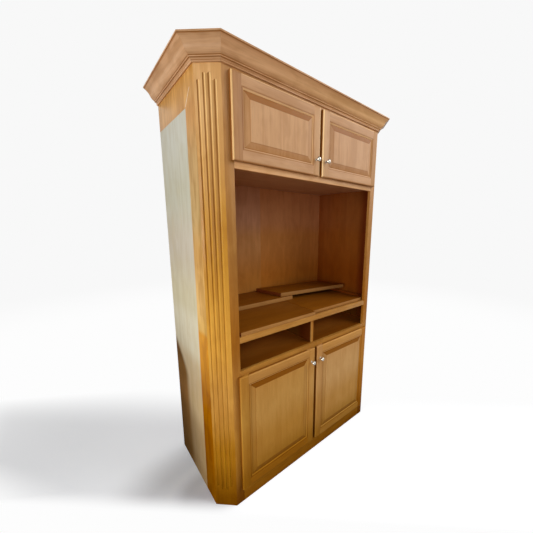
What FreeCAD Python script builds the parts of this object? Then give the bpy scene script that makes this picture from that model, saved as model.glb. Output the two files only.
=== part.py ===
import FreeCAD, Part
import math
import os

# TV armoire: upper cupboard, television bay, two player bays, lower cupboard, cut-off corners
# with fluted pilasters, and a crown moulding on five faces.
# Millimetres. Origin on the floor, at the centre of the overall footprint. +Z up, front at -Y.

Vec = FreeCAD.Vector

# Overall body
BODY_HALF_WIDTH = 621.0     # half of the width over the two side panels
DEPTH = 584.0               # front of the face frame to the back of the side panels
CORNER_CUT = 79.0           # length cut off each front corner along x and along y
CROWN_REACH = 64.0          # how far the crown stands out from the body
CROWN_BASE = 2063.0         # height of the underside of the crown
CROWN_HEIGHT = 71.0
BODY_TOP = 2115.0           # top of the boards that the crown is fixed to
FRONT = -DEPTH / 2 + CROWN_REACH / 2
BACK = FRONT + DEPTH

# Boards
BOARD = 19.0
BACK_PLY = 6.0
HOUSING = 6.0               # depth of the grooves in the sides that take the shelves
HOUSING_SETBACK = 13.0      # from the inner end of the mitre to the front of each housing
RABBET = 10.0               # width of the rabbet in the sides that takes the back panel

# Face frame, heights above the floor
OPENING_HALF = 498.0        # half of the clear width between the stiles
MULLION_HALF = 25.0
BASE_RAIL_TOP = 104.0
BAY_RAIL = (714.0, 752.0)
PLATFORM_RAIL = (896.0, 927.0)
HEADER_RAIL = (1686.0, 1728.0)
TOP_RAIL_BOTTOM = 2032.0

# Flutes of the pilasters
FLUTE_WIDTH = 11.5
FLUTE_DEPTH = 4.2
FLUTE_PLACES = (25.1, 48.2, 70.3, 93.8)     # along the face, from its front edge
OUTER_FLUTE = (117.0, 2007.0)
INNER_FLUTE = (95.0, 2031.0)

# Doors
DOOR_THICKNESS = 19.0
DOOR_GAP_BEHIND = 1.6       # between the back of a door and the face frame
DOOR_OVERLAY = 15.0         # how far a door laps over the frame
DOOR_MEETING_GAP = 20.0     # between the two doors of a pair
UPPER_DOOR = (1713.0, 2047.0)
LOWER_DOOR = (89.0, 729.0)
MEMBER = 57.0               # width of door stiles and rails, sticking included
STICKING = 11.0             # width of the moulded inner edge
STICKING_DROP = 6.0         # how far it falls back over that width
QUIRK = (1.0, 1.2)          # small square step where it begins: width and depth
OVOLO = (7.0, 2.6)          # width and depth at its fullest point
PANEL_GROOVE = 9.0          # depth of the groove in the inner edges
PANEL_PLAY = 1.5            # room left for the panel at the bottom of the groove
TONGUE_FRONT = 6.5          # groove walls, measured back from the front of the door
TONGUE_BACK = 12.5
BEVEL = 28.5                # width of the sloping border of a raised panel
FIELD_DROP = 1.0            # how far the field lies behind the front of the door
FIELD_STEP = 1.2            # small square step round the field
DOOR_EDGE_RADIUS = 7.0      # rounded front outer edge

# Hinges: a frame leaf, a door leaf and a pin
HINGE_HEIGHT = 60.0
HINGE_INSET = 70.0          # from a door's end to the near end of its hinge
KNUCKLE_RADIUS = 3.0
PIN_RADIUS = 1.3
PIN_PLAY = 0.05
KNUCKLE_GAP = 0.3
AXIS_SETBACK = 3.4          # from the outer edge of the door to the hinge axis
AXIS_STANDOFF = 6.4         # from the back plane of the door to the hinge axis
LEAF = 1.2
FRAME_LEAF_REACH = 10.1     # from the axis to the inner edge of the frame leaf
DOOR_LEAF_REACH = 28.0
NOTCH_PAST_AXIS = 3.6
NOTCH_DEPTH = 11.0
NOTCH_END_ROOM = 1.0

# Knobs
KNOB_SETBACK = 27.0         # from the meeting edge of the door
KNOB_HEIGHTS = {"upper": 1792.0, "lower": 648.0}
KNOB_BASE_RADIUS = 6.5
KNOB_BASE_HEIGHT = 2.0
KNOB_NECK_RADIUS = 4.6
KNOB_NECK_TOP = 15.0        # distances out from the door
KNOB_BRIM = 20.0
KNOB_CREST = 30.0
KNOB_HEAD_RADIUS = 12.0
KNOB_SHOULDER = (9.0, 27.4)     # radius and distance out of a point on the domed face
KNOB_CREST_RADIUS = 1.5     # small flat at the crest
SCREW_RADIUS = 2.0
SCREW_HOLE_PLAY = 0.25
SCREW_HEAD_RADIUS = 4.2
SCREW_HEAD_HEIGHT = 2.4
SCREW_INTO_KNOB = 9.0

# Loose shelf boards on the television deck: left, right, front and back edges
STACK_PLAY = 0.3
THICK_BOARD = 25.4          # the two upper boards are an inch thick
LEFT_BOARD = (-488.0, 9.0, FRONT + 4.0, FRONT + 534.0)
RIGHT_BOARD = (11.0, 496.0, FRONT + 24.0, FRONT + 554.0)
MIDDLE_BOARD = (-423.0, 79.0, FRONT + 302.0, FRONT + 570.0)
ASKEW_CORNER = (-6.0, FRONT + 324.0)
ASKEW_LENGTH = 572.0
ASKEW_TURN = -8.1           # degrees, of its front edge
ASKEW_END = 112.8           # degrees, from the front edge to the slanting left end
ASKEW_END_LENGTH = 228.5

PAST = 1.0                  # cutters run this far past a face

INNER_HALF = BODY_HALF_WIDTH - BOARD
MITRE_OFFSET = BOARD * math.tan(math.radians(22.5))


def export(shape, name):
    """Write one node, and say how large it is."""
    shape.exportStep("parts/" + name + ".step")
    box = shape.BoundBox
    print(f"{name:34s} {len(shape.Solids):2d} solid(s)  "
          f"{box.XLength:8.1f} {box.YLength:7.1f} {box.ZLength:7.1f}  "
          f"{shape.Volume / 1000:9.1f} cm3  valid {shape.isValid()}")


def box(x_range, y_range, z_range):
    """Upright block between three pairs of coordinates."""
    corner = Vec(x_range[0], y_range[0], z_range[0])
    return Part.makeBox(x_range[1] - x_range[0], y_range[1] - y_range[0],
                        z_range[1] - z_range[0], corner)


def prism(outline, z_range):
    """Upright block over a plan outline of (x, y) points."""
    points = [Vec(x, y, z_range[0]) for x, y in outline]
    face = Part.Face(Part.makePolygon(points + points[:1]))
    return face.extrude(Vec(0, 0, z_range[1] - z_range[0]))


def cylinder(radius, centre, z_range):
    """Upright cylinder about a plan point."""
    return Part.makeCylinder(radius, z_range[1] - z_range[0],
                             Vec(centre[0], centre[1], z_range[0]), Vec(0, 0, 1))


def mirrored(shape):
    """The same shape on the other side of the middle plane."""
    return shape.mirror(Vec(0, 0, 0), Vec(1, 0, 0))


# Carcass -------------------------------------------------------------------------------------

# Inside corners of the mitred front, left side.
FRAME_MITRE = (-BODY_HALF_WIDTH + CORNER_CUT + MITRE_OFFSET, FRONT + BOARD)
SIDE_MITRE = (-INNER_HALF, FRONT + CORNER_CUT + MITRE_OFFSET)
HOUSING_FRONT = SIDE_MITRE[1] + HOUSING_SETBACK
SHELF_BACK = BACK - BACK_PLY


def make_side_panel():
    """Left side: mitred to the pilaster, housed for the shelves, rabbeted for the back."""
    outline = [(-BODY_HALF_WIDTH, FRONT + CORNER_CUT), SIDE_MITRE,
               (-INNER_HALF, BACK), (-BODY_HALF_WIDTH, BACK)]
    panel = prism(outline, (0, BODY_TOP))
    for z_range in SHELF_LEVELS.values():
        panel = panel.cut(box((-INNER_HALF - HOUSING, 0), (HOUSING_FRONT, SHELF_BACK), z_range))
    return panel.cut(box((-INNER_HALF - RABBET, 0), (SHELF_BACK, BACK), (0, BODY_TOP)))


def make_pilaster():
    """Left pilaster: a board across the cut-off corner with four round-ended flutes."""
    front_edge = (-BODY_HALF_WIDTH + CORNER_CUT, FRONT)
    outline = [front_edge, FRAME_MITRE, SIDE_MITRE, (-BODY_HALF_WIDTH, FRONT + CORNER_CUT)]
    pilaster = prism(outline, (0, BODY_TOP))
    slope = math.sqrt(0.5)
    radius = (FLUTE_WIDTH ** 2 / 4 + FLUTE_DEPTH ** 2) / (2 * FLUTE_DEPTH)
    rise = radius - FLUTE_DEPTH
    for number, place in enumerate(FLUTE_PLACES):
        z_range = INNER_FLUTE if number in (1, 2) else OUTER_FLUTE
        centre = (front_edge[0] - slope * (place + rise), front_edge[1] + slope * (place - rise))
        end_room = FLUTE_WIDTH / 2
        low = z_range[0] + end_room
        high = z_range[1] - end_room
        cutter = cylinder(radius, centre, (low, high))
        for z in (low, high):
            cutter = cutter.fuse(Part.makeSphere(radius, Vec(centre[0], centre[1], z)))
        pilaster = pilaster.cut(cutter)
    return pilaster


def make_frame_stile():
    """Left stile of the face frame, mitred to the pilaster."""
    outline = [(-BODY_HALF_WIDTH + CORNER_CUT, FRONT), (-OPENING_HALF, FRONT),
               (-OPENING_HALF, FRONT + BOARD), FRAME_MITRE]
    return prism(outline, (0, BODY_TOP))


def make_frame_rail(z_range):
    """Rail of the face frame between the two stiles."""
    return box((-OPENING_HALF, OPENING_HALF), (FRONT, FRONT + BOARD), z_range)


def make_mullion(z_range):
    """Post of the face frame behind the meeting edges of a pair of doors."""
    return box((-MULLION_HALF, MULLION_HALF), (FRONT, FRONT + BOARD), z_range)


def make_shelf(z_range):
    """Full-width board behind the face frame, with tongues that fill the side housings."""
    left = [FRAME_MITRE, SIDE_MITRE, (-INNER_HALF, SHELF_BACK)]
    right = [(-x, y) for x, y in reversed(left)]
    board = prism(left + right, z_range)
    reach = INNER_HALF + HOUSING
    return board.fuse(box((-reach, reach), (HOUSING_FRONT, SHELF_BACK), z_range)).removeSplitter()


def make_upright(z_range):
    """Centre board that stands behind the face frame."""
    return box((-BOARD / 2, BOARD / 2), (FRONT + BOARD, SHELF_BACK), z_range)


def make_back_panel():
    """Thin sheet in the rabbets of the two sides."""
    reach = INNER_HALF + RABBET
    return box((-reach, reach), (SHELF_BACK, BACK), (0, BODY_TOP))


SHELF_LEVELS = {
    "base_floor": (BASE_RAIL_TOP - BOARD, BASE_RAIL_TOP),
    "bay_floor": (BAY_RAIL[1] - BOARD, BAY_RAIL[1]),
    "tv_deck": (PLATFORM_RAIL[1] - BOARD, PLATFORM_RAIL[1]),
    "upper_floor": (HEADER_RAIL[1] - BOARD, HEADER_RAIL[1]),
    "top_panel": (CROWN_BASE - BOARD, CROWN_BASE),
}
FRAME_RAILS = {
    "base_rail": (0.0, BASE_RAIL_TOP),
    "bay_rail": BAY_RAIL,
    "platform_rail": PLATFORM_RAIL,
    "header_rail": HEADER_RAIL,
    "top_frame_rail": (TOP_RAIL_BOTTOM, BODY_TOP),
}


def build_carcass():
    """Write every fixed board of the case."""
    for name, make in (("side_panel", make_side_panel), ("pilaster", make_pilaster),
                       ("frame_stile", make_frame_stile)):
        shape = make()
        export(shape, "left_" + name)
        export(mirrored(shape), "right_" + name)
    for name, z_range in FRAME_RAILS.items():
        export(make_frame_rail(z_range), name)
    export(make_mullion((HEADER_RAIL[1], TOP_RAIL_BOTTOM)), "upper_mullion")
    export(make_mullion((BASE_RAIL_TOP, BAY_RAIL[0])), "lower_mullion")
    for name, z_range in SHELF_LEVELS.items():
        export(make_shelf(z_range), name)
    export(make_upright((BAY_RAIL[1], PLATFORM_RAIL[1] - BOARD)), "bay_divider")
    export(make_upright((BASE_RAIL_TOP, BAY_RAIL[1] - BOARD)), "lower_partition")
    export(make_back_panel(), "back_panel")


# Crown moulding ------------------------------------------------------------------------------

def arc_edge(start, end, bulge, place):
    """Arc between two profile points; bulge is its height to the right of the chord."""
    run = (end[0] - start[0], end[1] - start[1])
    length = math.hypot(*run)
    middle = ((start[0] + end[0]) / 2 + bulge * run[1] / length,
              (start[1] + end[1]) / 2 - bulge * run[0] / length)
    return Part.Arc(place(*start), place(*middle), place(*end)).toShape()


def crown_face(place):
    """Profile of the crown: bottom bead, small cove, thin bead, ogee and top fillet."""
    steps = [((0, 0), (5, 0), 0),
             ((5, 0), (7, 6), 1.0),
             ((7, 6), (13, 13), -1.2),
             ((13, 13), (16.5, 17.5), 1.4),
             ((16.5, 17.5), (36.5, 40.5), 3.2),
             ((36.5, 40.5), (61.5, 65), -2.2),
             ((61.5, 65), (CROWN_REACH, 65), 0),
             ((CROWN_REACH, 65), (CROWN_REACH, CROWN_HEIGHT), 0),
             ((CROWN_REACH, CROWN_HEIGHT), (0, CROWN_HEIGHT), 0),
             ((0, CROWN_HEIGHT), (0, 0), 0)]
    edges = []
    for start, end, bulge in steps:
        if bulge:
            edges.append(arc_edge(start, end, bulge, place))
        else:
            edges.append(Part.LineSegment(place(*start), place(*end)).toShape())
    return Part.Face(Part.Wire(edges))


def make_crown_run(start, end, start_spread, end_spread):
    """One straight length of crown between two corners of the body, mitred at both ends.

    A spread is how far the mitre moves, in x and y, for each millimetre out from the body.
    """
    run = Vec(end[0] - start[0], end[1] - start[1], 0)
    length = run.Length
    along = Vec(run).normalize()
    outward = along.cross(Vec(0, 0, 1))
    overrun = 2 * CROWN_REACH

    def place(out, up):
        """Point of the profile, set back past the start of the run."""
        point = Vec(start[0], start[1], CROWN_BASE + up)
        return point + outward * out - along * overrun

    length_of_moulding = crown_face(place).extrude(along * (length + 2 * overrun))
    plan = []
    for corner, spread, out in ((start, start_spread, -BOARD), (end, end_spread, -BOARD),
                                (end, end_spread, overrun), (start, start_spread, overrun)):
        plan.append((corner[0] + spread[0] * out, corner[1] + spread[1] * out))
    return length_of_moulding.common(prism(plan, (0, CROWN_BASE + 2 * CROWN_HEIGHT)))


def build_crown():
    """Write the five lengths of crown moulding."""
    spread = math.tan(math.radians(22.5))
    front_corner = (-BODY_HALF_WIDTH + CORNER_CUT, FRONT)
    side_corner = (-BODY_HALF_WIDTH, FRONT + CORNER_CUT)
    back_corner = (-BODY_HALF_WIDTH, BACK)
    front_mitre = (-spread, -1)
    side_mitre = (-1, -spread)
    export(make_crown_run(front_corner, (-front_corner[0], FRONT), front_mitre, (spread, -1)),
           "crown_front")
    angle = make_crown_run(side_corner, front_corner, side_mitre, front_mitre)
    export(angle, "crown_left_angle")
    export(mirrored(angle), "crown_right_angle")
    side = make_crown_run(back_corner, side_corner, (-1, 0), side_mitre)
    export(side, "crown_left_side")
    export(mirrored(side), "crown_right_side")


# Doors ---------------------------------------------------------------------------------------

DOOR_BACK = FRONT - DOOR_GAP_BEHIND
DOOR_FRONT = DOOR_BACK - DOOR_THICKNESS
DOOR_OUTER = -OPENING_HALF - DOOR_OVERLAY
DOOR_INNER = -DOOR_MEETING_GAP / 2
HINGE_AXIS = (DOOR_OUTER + AXIS_SETBACK, DOOR_BACK - AXIS_STANDOFF)


def member_section(outer, inner):
    """Cross-section of a stile or rail: flat outside, moulded and grooved inside.

    Runs along one axis from the outer to the inner edge; depth is measured back from the front.
    """
    way = 1 if inner > outer else -1
    face_end = inner - way * STICKING
    groove = inner - way * PANEL_GROOVE
    return [(outer, 0), (face_end, 0), (face_end + way * QUIRK[0], QUIRK[1]),
            (face_end + way * OVOLO[0], OVOLO[1]), (inner, STICKING_DROP), (inner, TONGUE_FRONT),
            (groove, TONGUE_FRONT), (groove, TONGUE_BACK), (inner, TONGUE_BACK),
            (inner, DOOR_THICKNESS), (outer, DOOR_THICKNESS)]


def make_stile(outer, inner, z_range):
    """Upright door member, full height."""
    outline = [(x, DOOR_FRONT + depth) for x, depth in member_section(outer, inner)]
    return prism(outline, z_range)


def make_rail(outer, inner, x_range):
    """Level door member, from one place along x to another."""
    points = [Vec(x_range[0], DOOR_FRONT + depth, z) for z, depth in member_section(outer, inner)]
    face = Part.Face(Part.makePolygon(points + points[:1]))
    return face.extrude(Vec(x_range[1] - x_range[0], 0, 0))


def make_door_blank(z_range):
    """The door's outer shape, with its four front edges rounded."""
    blank = box((DOOR_OUTER, DOOR_INNER), (DOOR_FRONT, DOOR_BACK), z_range)
    edges = []
    for edge in blank.Edges:
        if edge.BoundBox.YMax < (DOOR_FRONT + DOOR_BACK) / 2:
            edges.append(edge)
    return blank.makeFillet(DOOR_EDGE_RADIUS, edges)


def make_panel(x_range, z_range):
    """Raised panel: tongue all round, sloping border, small step and flat field."""
    tongue = box(x_range, (DOOR_FRONT + TONGUE_FRONT, DOOR_FRONT + TONGUE_BACK), z_range)
    margin = PANEL_GROOVE - PANEL_PLAY
    shapes = []
    for inset, depth in ((margin, TONGUE_FRONT), (margin + BEVEL, FIELD_DROP + FIELD_STEP)):
        corners = []
        for x, z in ((x_range[0] + inset, z_range[0] + inset),
                     (x_range[1] - inset, z_range[0] + inset),
                     (x_range[1] - inset, z_range[1] - inset),
                     (x_range[0] + inset, z_range[1] - inset)):
            corners.append(Vec(x, DOOR_FRONT + depth, z))
        shapes.append(Part.makePolygon(corners + corners[:1]))
    raised = Part.makeLoft(shapes, True, True)
    inset = margin + BEVEL
    field = box((x_range[0] + inset, x_range[1] - inset),
                (DOOR_FRONT + FIELD_DROP, DOOR_FRONT + FIELD_DROP + FIELD_STEP),
                (z_range[0] + inset, z_range[1] - inset))
    return tongue.fuse([raised, field]).removeSplitter()


def hinge_starts(z_range):
    """Lower ends of the two hinges of a door."""
    return (z_range[0] + HINGE_INSET, z_range[1] - HINGE_INSET - HINGE_HEIGHT)


def make_hinge_notch(start):
    """Room for the knuckles behind the outer edge of a door."""
    x_range = (DOOR_OUTER - PAST, HINGE_AXIS[0] + NOTCH_PAST_AXIS)
    z_range = (start - NOTCH_END_ROOM, start + HINGE_HEIGHT + NOTCH_END_ROOM)
    return box(x_range, (DOOR_BACK - NOTCH_DEPTH, DOOR_BACK + PAST), z_range)


def make_leaf_mortise(start):
    """Shallow seat of the door leaf in the back of the stile."""
    x_range = (HINGE_AXIS[0], HINGE_AXIS[0] + DOOR_LEAF_REACH)
    return box(x_range, (DOOR_BACK - LEAF, DOOR_BACK + PAST), (start, start + HINGE_HEIGHT))


def knuckle_spans(start):
    """Heights of the lower, middle and upper knuckle of a hinge."""
    third = HINGE_HEIGHT / 3
    half_gap = KNUCKLE_GAP / 2
    return ((start, start + third - half_gap),
            (start + third + half_gap, start + 2 * third - half_gap),
            (start + 2 * third + half_gap, start + HINGE_HEIGHT))


def make_frame_leaf(start):
    """Leaf on the face frame with the two outer knuckles, which hold the pin fast."""
    axis_x, axis_y = HINGE_AXIS
    neck_x = (axis_x - KNUCKLE_RADIUS, axis_x - KNUCKLE_RADIUS + LEAF)
    leaf = box((neck_x[0], axis_x + FRAME_LEAF_REACH), (FRONT - LEAF, FRONT),
               (start, start + HINGE_HEIGHT))
    lower, _, upper = knuckle_spans(start)
    for z_range in (lower, upper):
        leaf = leaf.fuse(cylinder(KNUCKLE_RADIUS, HINGE_AXIS, z_range))
        leaf = leaf.fuse(box(neck_x, (axis_y, FRONT), z_range))
    return leaf.cut(cylinder(PIN_RADIUS, HINGE_AXIS, (start, start + HINGE_HEIGHT)))


def make_door_leaf(start):
    """Leaf let into the door with the middle knuckle, which turns on the pin."""
    axis_x, axis_y = HINGE_AXIS
    neck_x = (axis_x + KNUCKLE_RADIUS - LEAF, axis_x + KNUCKLE_RADIUS)
    _, middle, _ = knuckle_spans(start)
    edge = axis_x + NOTCH_PAST_AXIS
    plate = box((edge, axis_x + DOOR_LEAF_REACH), (DOOR_BACK - LEAF, DOOR_BACK),
                (start, start + HINGE_HEIGHT))
    bridge = box((neck_x[0], edge), (DOOR_BACK - LEAF, DOOR_BACK), middle)
    neck = box(neck_x, (axis_y, DOOR_BACK), middle)
    leaf = plate.fuse([bridge, neck, cylinder(KNUCKLE_RADIUS, HINGE_AXIS, middle)])
    bore = cylinder(PIN_RADIUS + PIN_PLAY, HINGE_AXIS, (start, start + HINGE_HEIGHT))
    return leaf.cut(bore).removeSplitter()


def turned(profile, x, z):
    """Solid turned about a front-to-back axis from (radius, distance to the front) points."""
    points = [Vec(x + radius, DOOR_FRONT - out, z) for radius, out in profile]
    face = Part.Face(Part.makePolygon(points + points[:1]))
    return face.revolve(Vec(x, 0, z), Vec(0, 1, 0), 360)


def make_knob(z):
    """Mushroom knob and the machine screw that holds it from behind the door."""
    x = DOOR_INNER - KNOB_SETBACK
    start = Vec(x, DOOR_FRONT, z)

    def place(radius, out):
        """Point of the knob's half profile."""
        return start + Vec(radius, -out, 0)

    foot = [(0, SCREW_INTO_KNOB), (SCREW_RADIUS, SCREW_INTO_KNOB), (SCREW_RADIUS, 0),
            (KNOB_BASE_RADIUS, 0), (KNOB_BASE_RADIUS, KNOB_BASE_HEIGHT),
            (KNOB_NECK_RADIUS, KNOB_NECK_TOP), (KNOB_HEAD_RADIUS, KNOB_BRIM)]
    crest = [(KNOB_CREST_RADIUS, KNOB_CREST), (0, KNOB_CREST), (0, SCREW_INTO_KNOB)]
    edges = []
    for points in (foot, crest):
        for near, far in zip(points, points[1:]):
            edges.append(Part.LineSegment(place(*near), place(*far)).toShape())
    edges.append(Part.Arc(place(*foot[-1]), place(*KNOB_SHOULDER), place(*crest[0])).toShape())
    half = Part.Face(Part.Wire(Part.__sortEdges__(edges)))
    knob = half.revolve(start, Vec(0, 1, 0), 360)
    screw_back = -DOOR_THICKNESS - SCREW_HEAD_HEIGHT
    screw = turned([(0, SCREW_INTO_KNOB), (SCREW_RADIUS, SCREW_INTO_KNOB),
                    (SCREW_RADIUS, -DOOR_THICKNESS), (SCREW_HEAD_RADIUS, -DOOR_THICKNESS),
                    (SCREW_HEAD_RADIUS, screw_back), (0, screw_back)], x, z)
    return Part.makeCompound([knob, screw])


def build_door(level, z_range):
    """Write the left door of a pair and its mirror image."""
    blank = make_door_blank(z_range)
    hinge_stile = make_stile(DOOR_OUTER, DOOR_OUTER + MEMBER, z_range)
    lock_stile = make_stile(DOOR_INNER, DOOR_INNER - MEMBER, z_range)
    tongue_x = (DOOR_OUTER + MEMBER - STICKING, DOOR_INNER - MEMBER + STICKING)
    bottom_rail = make_rail(z_range[0], z_range[0] + MEMBER, tongue_x)
    top_rail = make_rail(z_range[1], z_range[1] - MEMBER, tongue_x)
    margin = MEMBER - PANEL_GROOVE + PANEL_PLAY
    panel = make_panel((DOOR_OUTER + margin, DOOR_INNER - margin),
                       (z_range[0] + margin, z_range[1] - margin))
    bottom_rail = bottom_rail.cut(hinge_stile).cut(lock_stile).common(blank)
    top_rail = top_rail.cut(hinge_stile).cut(lock_stile).common(blank)
    hinge_stile = hinge_stile.common(blank)
    lock_stile = lock_stile.common(blank)
    for start in hinge_starts(z_range):
        hinge_stile = hinge_stile.cut(make_hinge_notch(start)).cut(make_leaf_mortise(start))
    screw_hole = Part.makeCylinder(SCREW_RADIUS + SCREW_HOLE_PLAY, DOOR_THICKNESS,
                                   Vec(DOOR_INNER - KNOB_SETBACK, DOOR_FRONT, KNOB_HEIGHTS[level]),
                                   Vec(0, 1, 0))
    leaves = Part.makeCompound([make_door_leaf(start) for start in hinge_starts(z_range)])
    pieces = {
        "hinge_stile": hinge_stile,
        "lock_stile": lock_stile.cut(screw_hole),
        "bottom_rail": bottom_rail,
        "top_rail": top_rail,
        "panel": panel,
        "knob": make_knob(KNOB_HEIGHTS[level]),
        "hinge_leaves": leaves,
    }
    for name, shape in pieces.items():
        export(shape, level + "_left_" + name)
        export(mirrored(shape), level + "_right_" + name)


def build_hinges():
    """Write the frame leaves and the pins of all eight hinges."""
    leaves = []
    pins = []
    for z_range in (UPPER_DOOR, LOWER_DOOR):
        for start in hinge_starts(z_range):
            leaf = make_frame_leaf(start)
            pin = cylinder(PIN_RADIUS, HINGE_AXIS, (start, start + HINGE_HEIGHT))
            leaves += [leaf, mirrored(leaf)]
            pins += [pin, mirrored(pin)]
    export(Part.makeCompound(leaves), "hinge_frame_leaves")
    export(Part.makeCompound(pins), "hinge_pins")


# Loose boards --------------------------------------------------------------------------------

def make_askew_board(z_range):
    """Top board of the stack: lies turned, and both its ends are cut at the same slant."""
    turn = math.radians(ASKEW_TURN)
    slant = math.radians(ASKEW_TURN + ASKEW_END)
    front = (ASKEW_LENGTH * math.cos(turn), ASKEW_LENGTH * math.sin(turn))
    end = (ASKEW_END_LENGTH * math.cos(slant), ASKEW_END_LENGTH * math.sin(slant))
    x, y = ASKEW_CORNER
    return prism([(x, y), (x + front[0], y + front[1]),
                  (x + front[0] + end[0], y + front[1] + end[1]), (x + end[0], y + end[1])],
                 z_range)


def build_loose_boards():
    """Write the four loose boards that lie stacked on the television deck."""
    first = PLATFORM_RAIL[1] + STACK_PLAY
    second = first + BOARD + STACK_PLAY
    third = second + THICK_BOARD + STACK_PLAY
    for name, edges in (("left", LEFT_BOARD), ("right", RIGHT_BOARD)):
        export(box(edges[:2], edges[2:], (first, first + BOARD)), "loose_board_" + name)
    export(box(MIDDLE_BOARD[:2], MIDDLE_BOARD[2:], (second, second + THICK_BOARD)),
           "loose_board_middle")
    export(make_askew_board((third, third + THICK_BOARD)), "loose_board_askew")


os.makedirs("parts", exist_ok=True)
build_carcass()
build_crown()
build_door("upper", UPPER_DOOR)
build_door("lower", LOWER_DOOR)
build_hinges()
build_loose_boards()
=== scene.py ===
import logging
import math
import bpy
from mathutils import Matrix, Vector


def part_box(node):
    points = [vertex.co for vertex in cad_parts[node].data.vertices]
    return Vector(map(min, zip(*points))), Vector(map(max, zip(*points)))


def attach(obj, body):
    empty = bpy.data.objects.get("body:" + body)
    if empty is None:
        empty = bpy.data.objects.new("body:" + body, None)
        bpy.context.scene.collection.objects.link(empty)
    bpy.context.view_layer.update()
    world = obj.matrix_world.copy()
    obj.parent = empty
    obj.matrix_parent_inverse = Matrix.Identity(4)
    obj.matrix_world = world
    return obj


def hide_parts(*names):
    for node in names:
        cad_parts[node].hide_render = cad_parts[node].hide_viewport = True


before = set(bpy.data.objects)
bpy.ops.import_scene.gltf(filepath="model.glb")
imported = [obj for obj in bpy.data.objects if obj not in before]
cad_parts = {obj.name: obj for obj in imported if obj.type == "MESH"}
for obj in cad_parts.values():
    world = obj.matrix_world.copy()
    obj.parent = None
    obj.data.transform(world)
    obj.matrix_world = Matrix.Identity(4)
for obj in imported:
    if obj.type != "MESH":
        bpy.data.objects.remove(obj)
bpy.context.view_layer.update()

import zlib
from dataclasses import dataclass
from enum import Enum
from typing import Any, Sequence

import bpy
import numpy as np
from mathutils import Matrix

LOG = logging.getLogger("armoire")
MM = 0.001
Array = np.ndarray
Tree = bpy.types.NodeTree
Socket = bpy.types.NodeSocket
Material = bpy.types.Material
Palette = dict[str, Material]
Triple = tuple[float, float, float]
Stops = tuple[tuple[float, str], ...]       # places and the sRGB hex colours there
X_AXIS = (1.0, 0.0, 0.0)
Y_AXIS = (0.0, 1.0, 0.0)
Z_AXIS = (0.0, 0.0, 1.0)


# Colour and shader helpers --------------------------------------------------------------------

def linear(code: str) -> tuple[float, float, float, float]:
    """Turn an sRGB hex colour into linear light, the only way in for every colour here.

    Args:
        code: Six hex digits after a hash, such as "#C8964B".

    Returns:
        Red, green, blue and an alpha of 1.
    """
    parts = [int(code[place:place + 2], 16) / 255 for place in (1, 3, 5)]
    light = [part / 12.92 if part <= 0.04045 else ((part + 0.055) / 1.055) ** 2.4 for part in parts]
    return (light[0], light[1], light[2], 1.0)


def add_node(tree: Tree, kind: str, feeds: dict[Any, Any] | None = None,
             out: int | str | None = 0, **settings: Any) -> Any:
    """Add one node, set its options, and feed its inputs.

    Args:
        tree: The node tree that takes the node.
        kind: Blender's name of the node type, less the word ShaderNode.
        feeds: Input name or number to an output socket, a constant or an sRGB hex colour.
        out: Name or number of the output to give back, or None for all of them.
        settings: Properties of the node itself.

    Returns:
        One output socket, or all.
    """
    node = tree.nodes.new("ShaderNode" + kind)
    for name, value in settings.items():
        setattr(node, name, value)
    for key, value in (feeds or {}).items():
        if isinstance(value, Socket):
            tree.links.new(value, node.inputs[key])
        else:
            node.inputs[key].default_value = linear(value) if isinstance(value, str) else value
    return node.outputs if out is None else node.outputs[out]


def calc(tree: Tree, operation: str, *values: Any) -> Socket:
    """Add a maths node, fed with sockets or numbers."""
    return add_node(tree, "Math", dict(enumerate(values)), operation=operation)


def measure(tree: Tree, operation: str, *vectors: Any) -> Socket:
    """Add a vector maths node that gives a number: a length, a distance or a product."""
    return add_node(tree, "VectorMath", dict(enumerate(vectors)), 1, operation=operation)


def object_axes(tree: Tree) -> Any:
    """Three sockets: the place from side to side, from front to back, and upwards, in metres."""
    return add_node(tree, "SeparateXYZ", {0: add_node(tree, "TexCoord", out="Object")}, None)


def new_material(name: str) -> tuple[Material, Tree]:
    """Start an empty node material.

    Args:
        name: Name of the material.

    Returns:
        The material and its node tree.
    """
    material = bpy.data.materials.new(name)
    material.use_nodes = True
    material.node_tree.nodes.clear()
    return material, material.node_tree


class Fibres(Enum):
    """Where a wood material finds the direction of its fibres."""

    BOARD = "board"     # the piece's own attribute: along, across and through the board
    ALONG_X = "x"       # Object coordinates, fibres along x
    ALONG_Z = "z"       # Object coordinates, fibres upright


def fibre_space(tree: Tree, fibres: Fibres) -> Socket:
    """Give coordinates in metres whose first axis runs along the fibres.

    Args:
        tree: The material's node tree.
        fibres: Which coordinates to use.

    Returns:
        The vector socket.
    """
    if fibres is Fibres.BOARD:
        return add_node(tree, "Attribute", out="Vector", attribute_name="grain")
    if fibres is Fibres.ALONG_X:
        return add_node(tree, "TexCoord", out="Object")
    x, y, z = object_axes(tree)
    return add_node(tree, "CombineXYZ", {0: z, 1: x, 2: y})


def streaks(tree: Tree, space: Socket, length: float, width: float, detail: float = 2.0,
            distortion: float = 0.0) -> Socket:
    """Noise stretched along the fibres.

    Args:
        tree: The material's node tree.
        space: Fibre coordinates in metres.
        length: Typical length of a streak along the fibres, in millimetres.
        width: Typical width of a streak, in millimetres.
        detail: Octaves of the noise.
        distortion: Waviness of the noise.

    Returns:
        A value socket between 0 and 1.
    """
    scale = (1 / (length * MM), 1 / (width * MM), 1 / (width * MM))
    stretched = add_node(tree, "VectorMath", {0: space, 1: scale}, operation="MULTIPLY")
    return add_node(tree, "TexNoise", {"Vector": stretched, "Scale": 1.0, "Detail": detail,
                                       "Roughness": 0.55, "Distortion": distortion})


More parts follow.
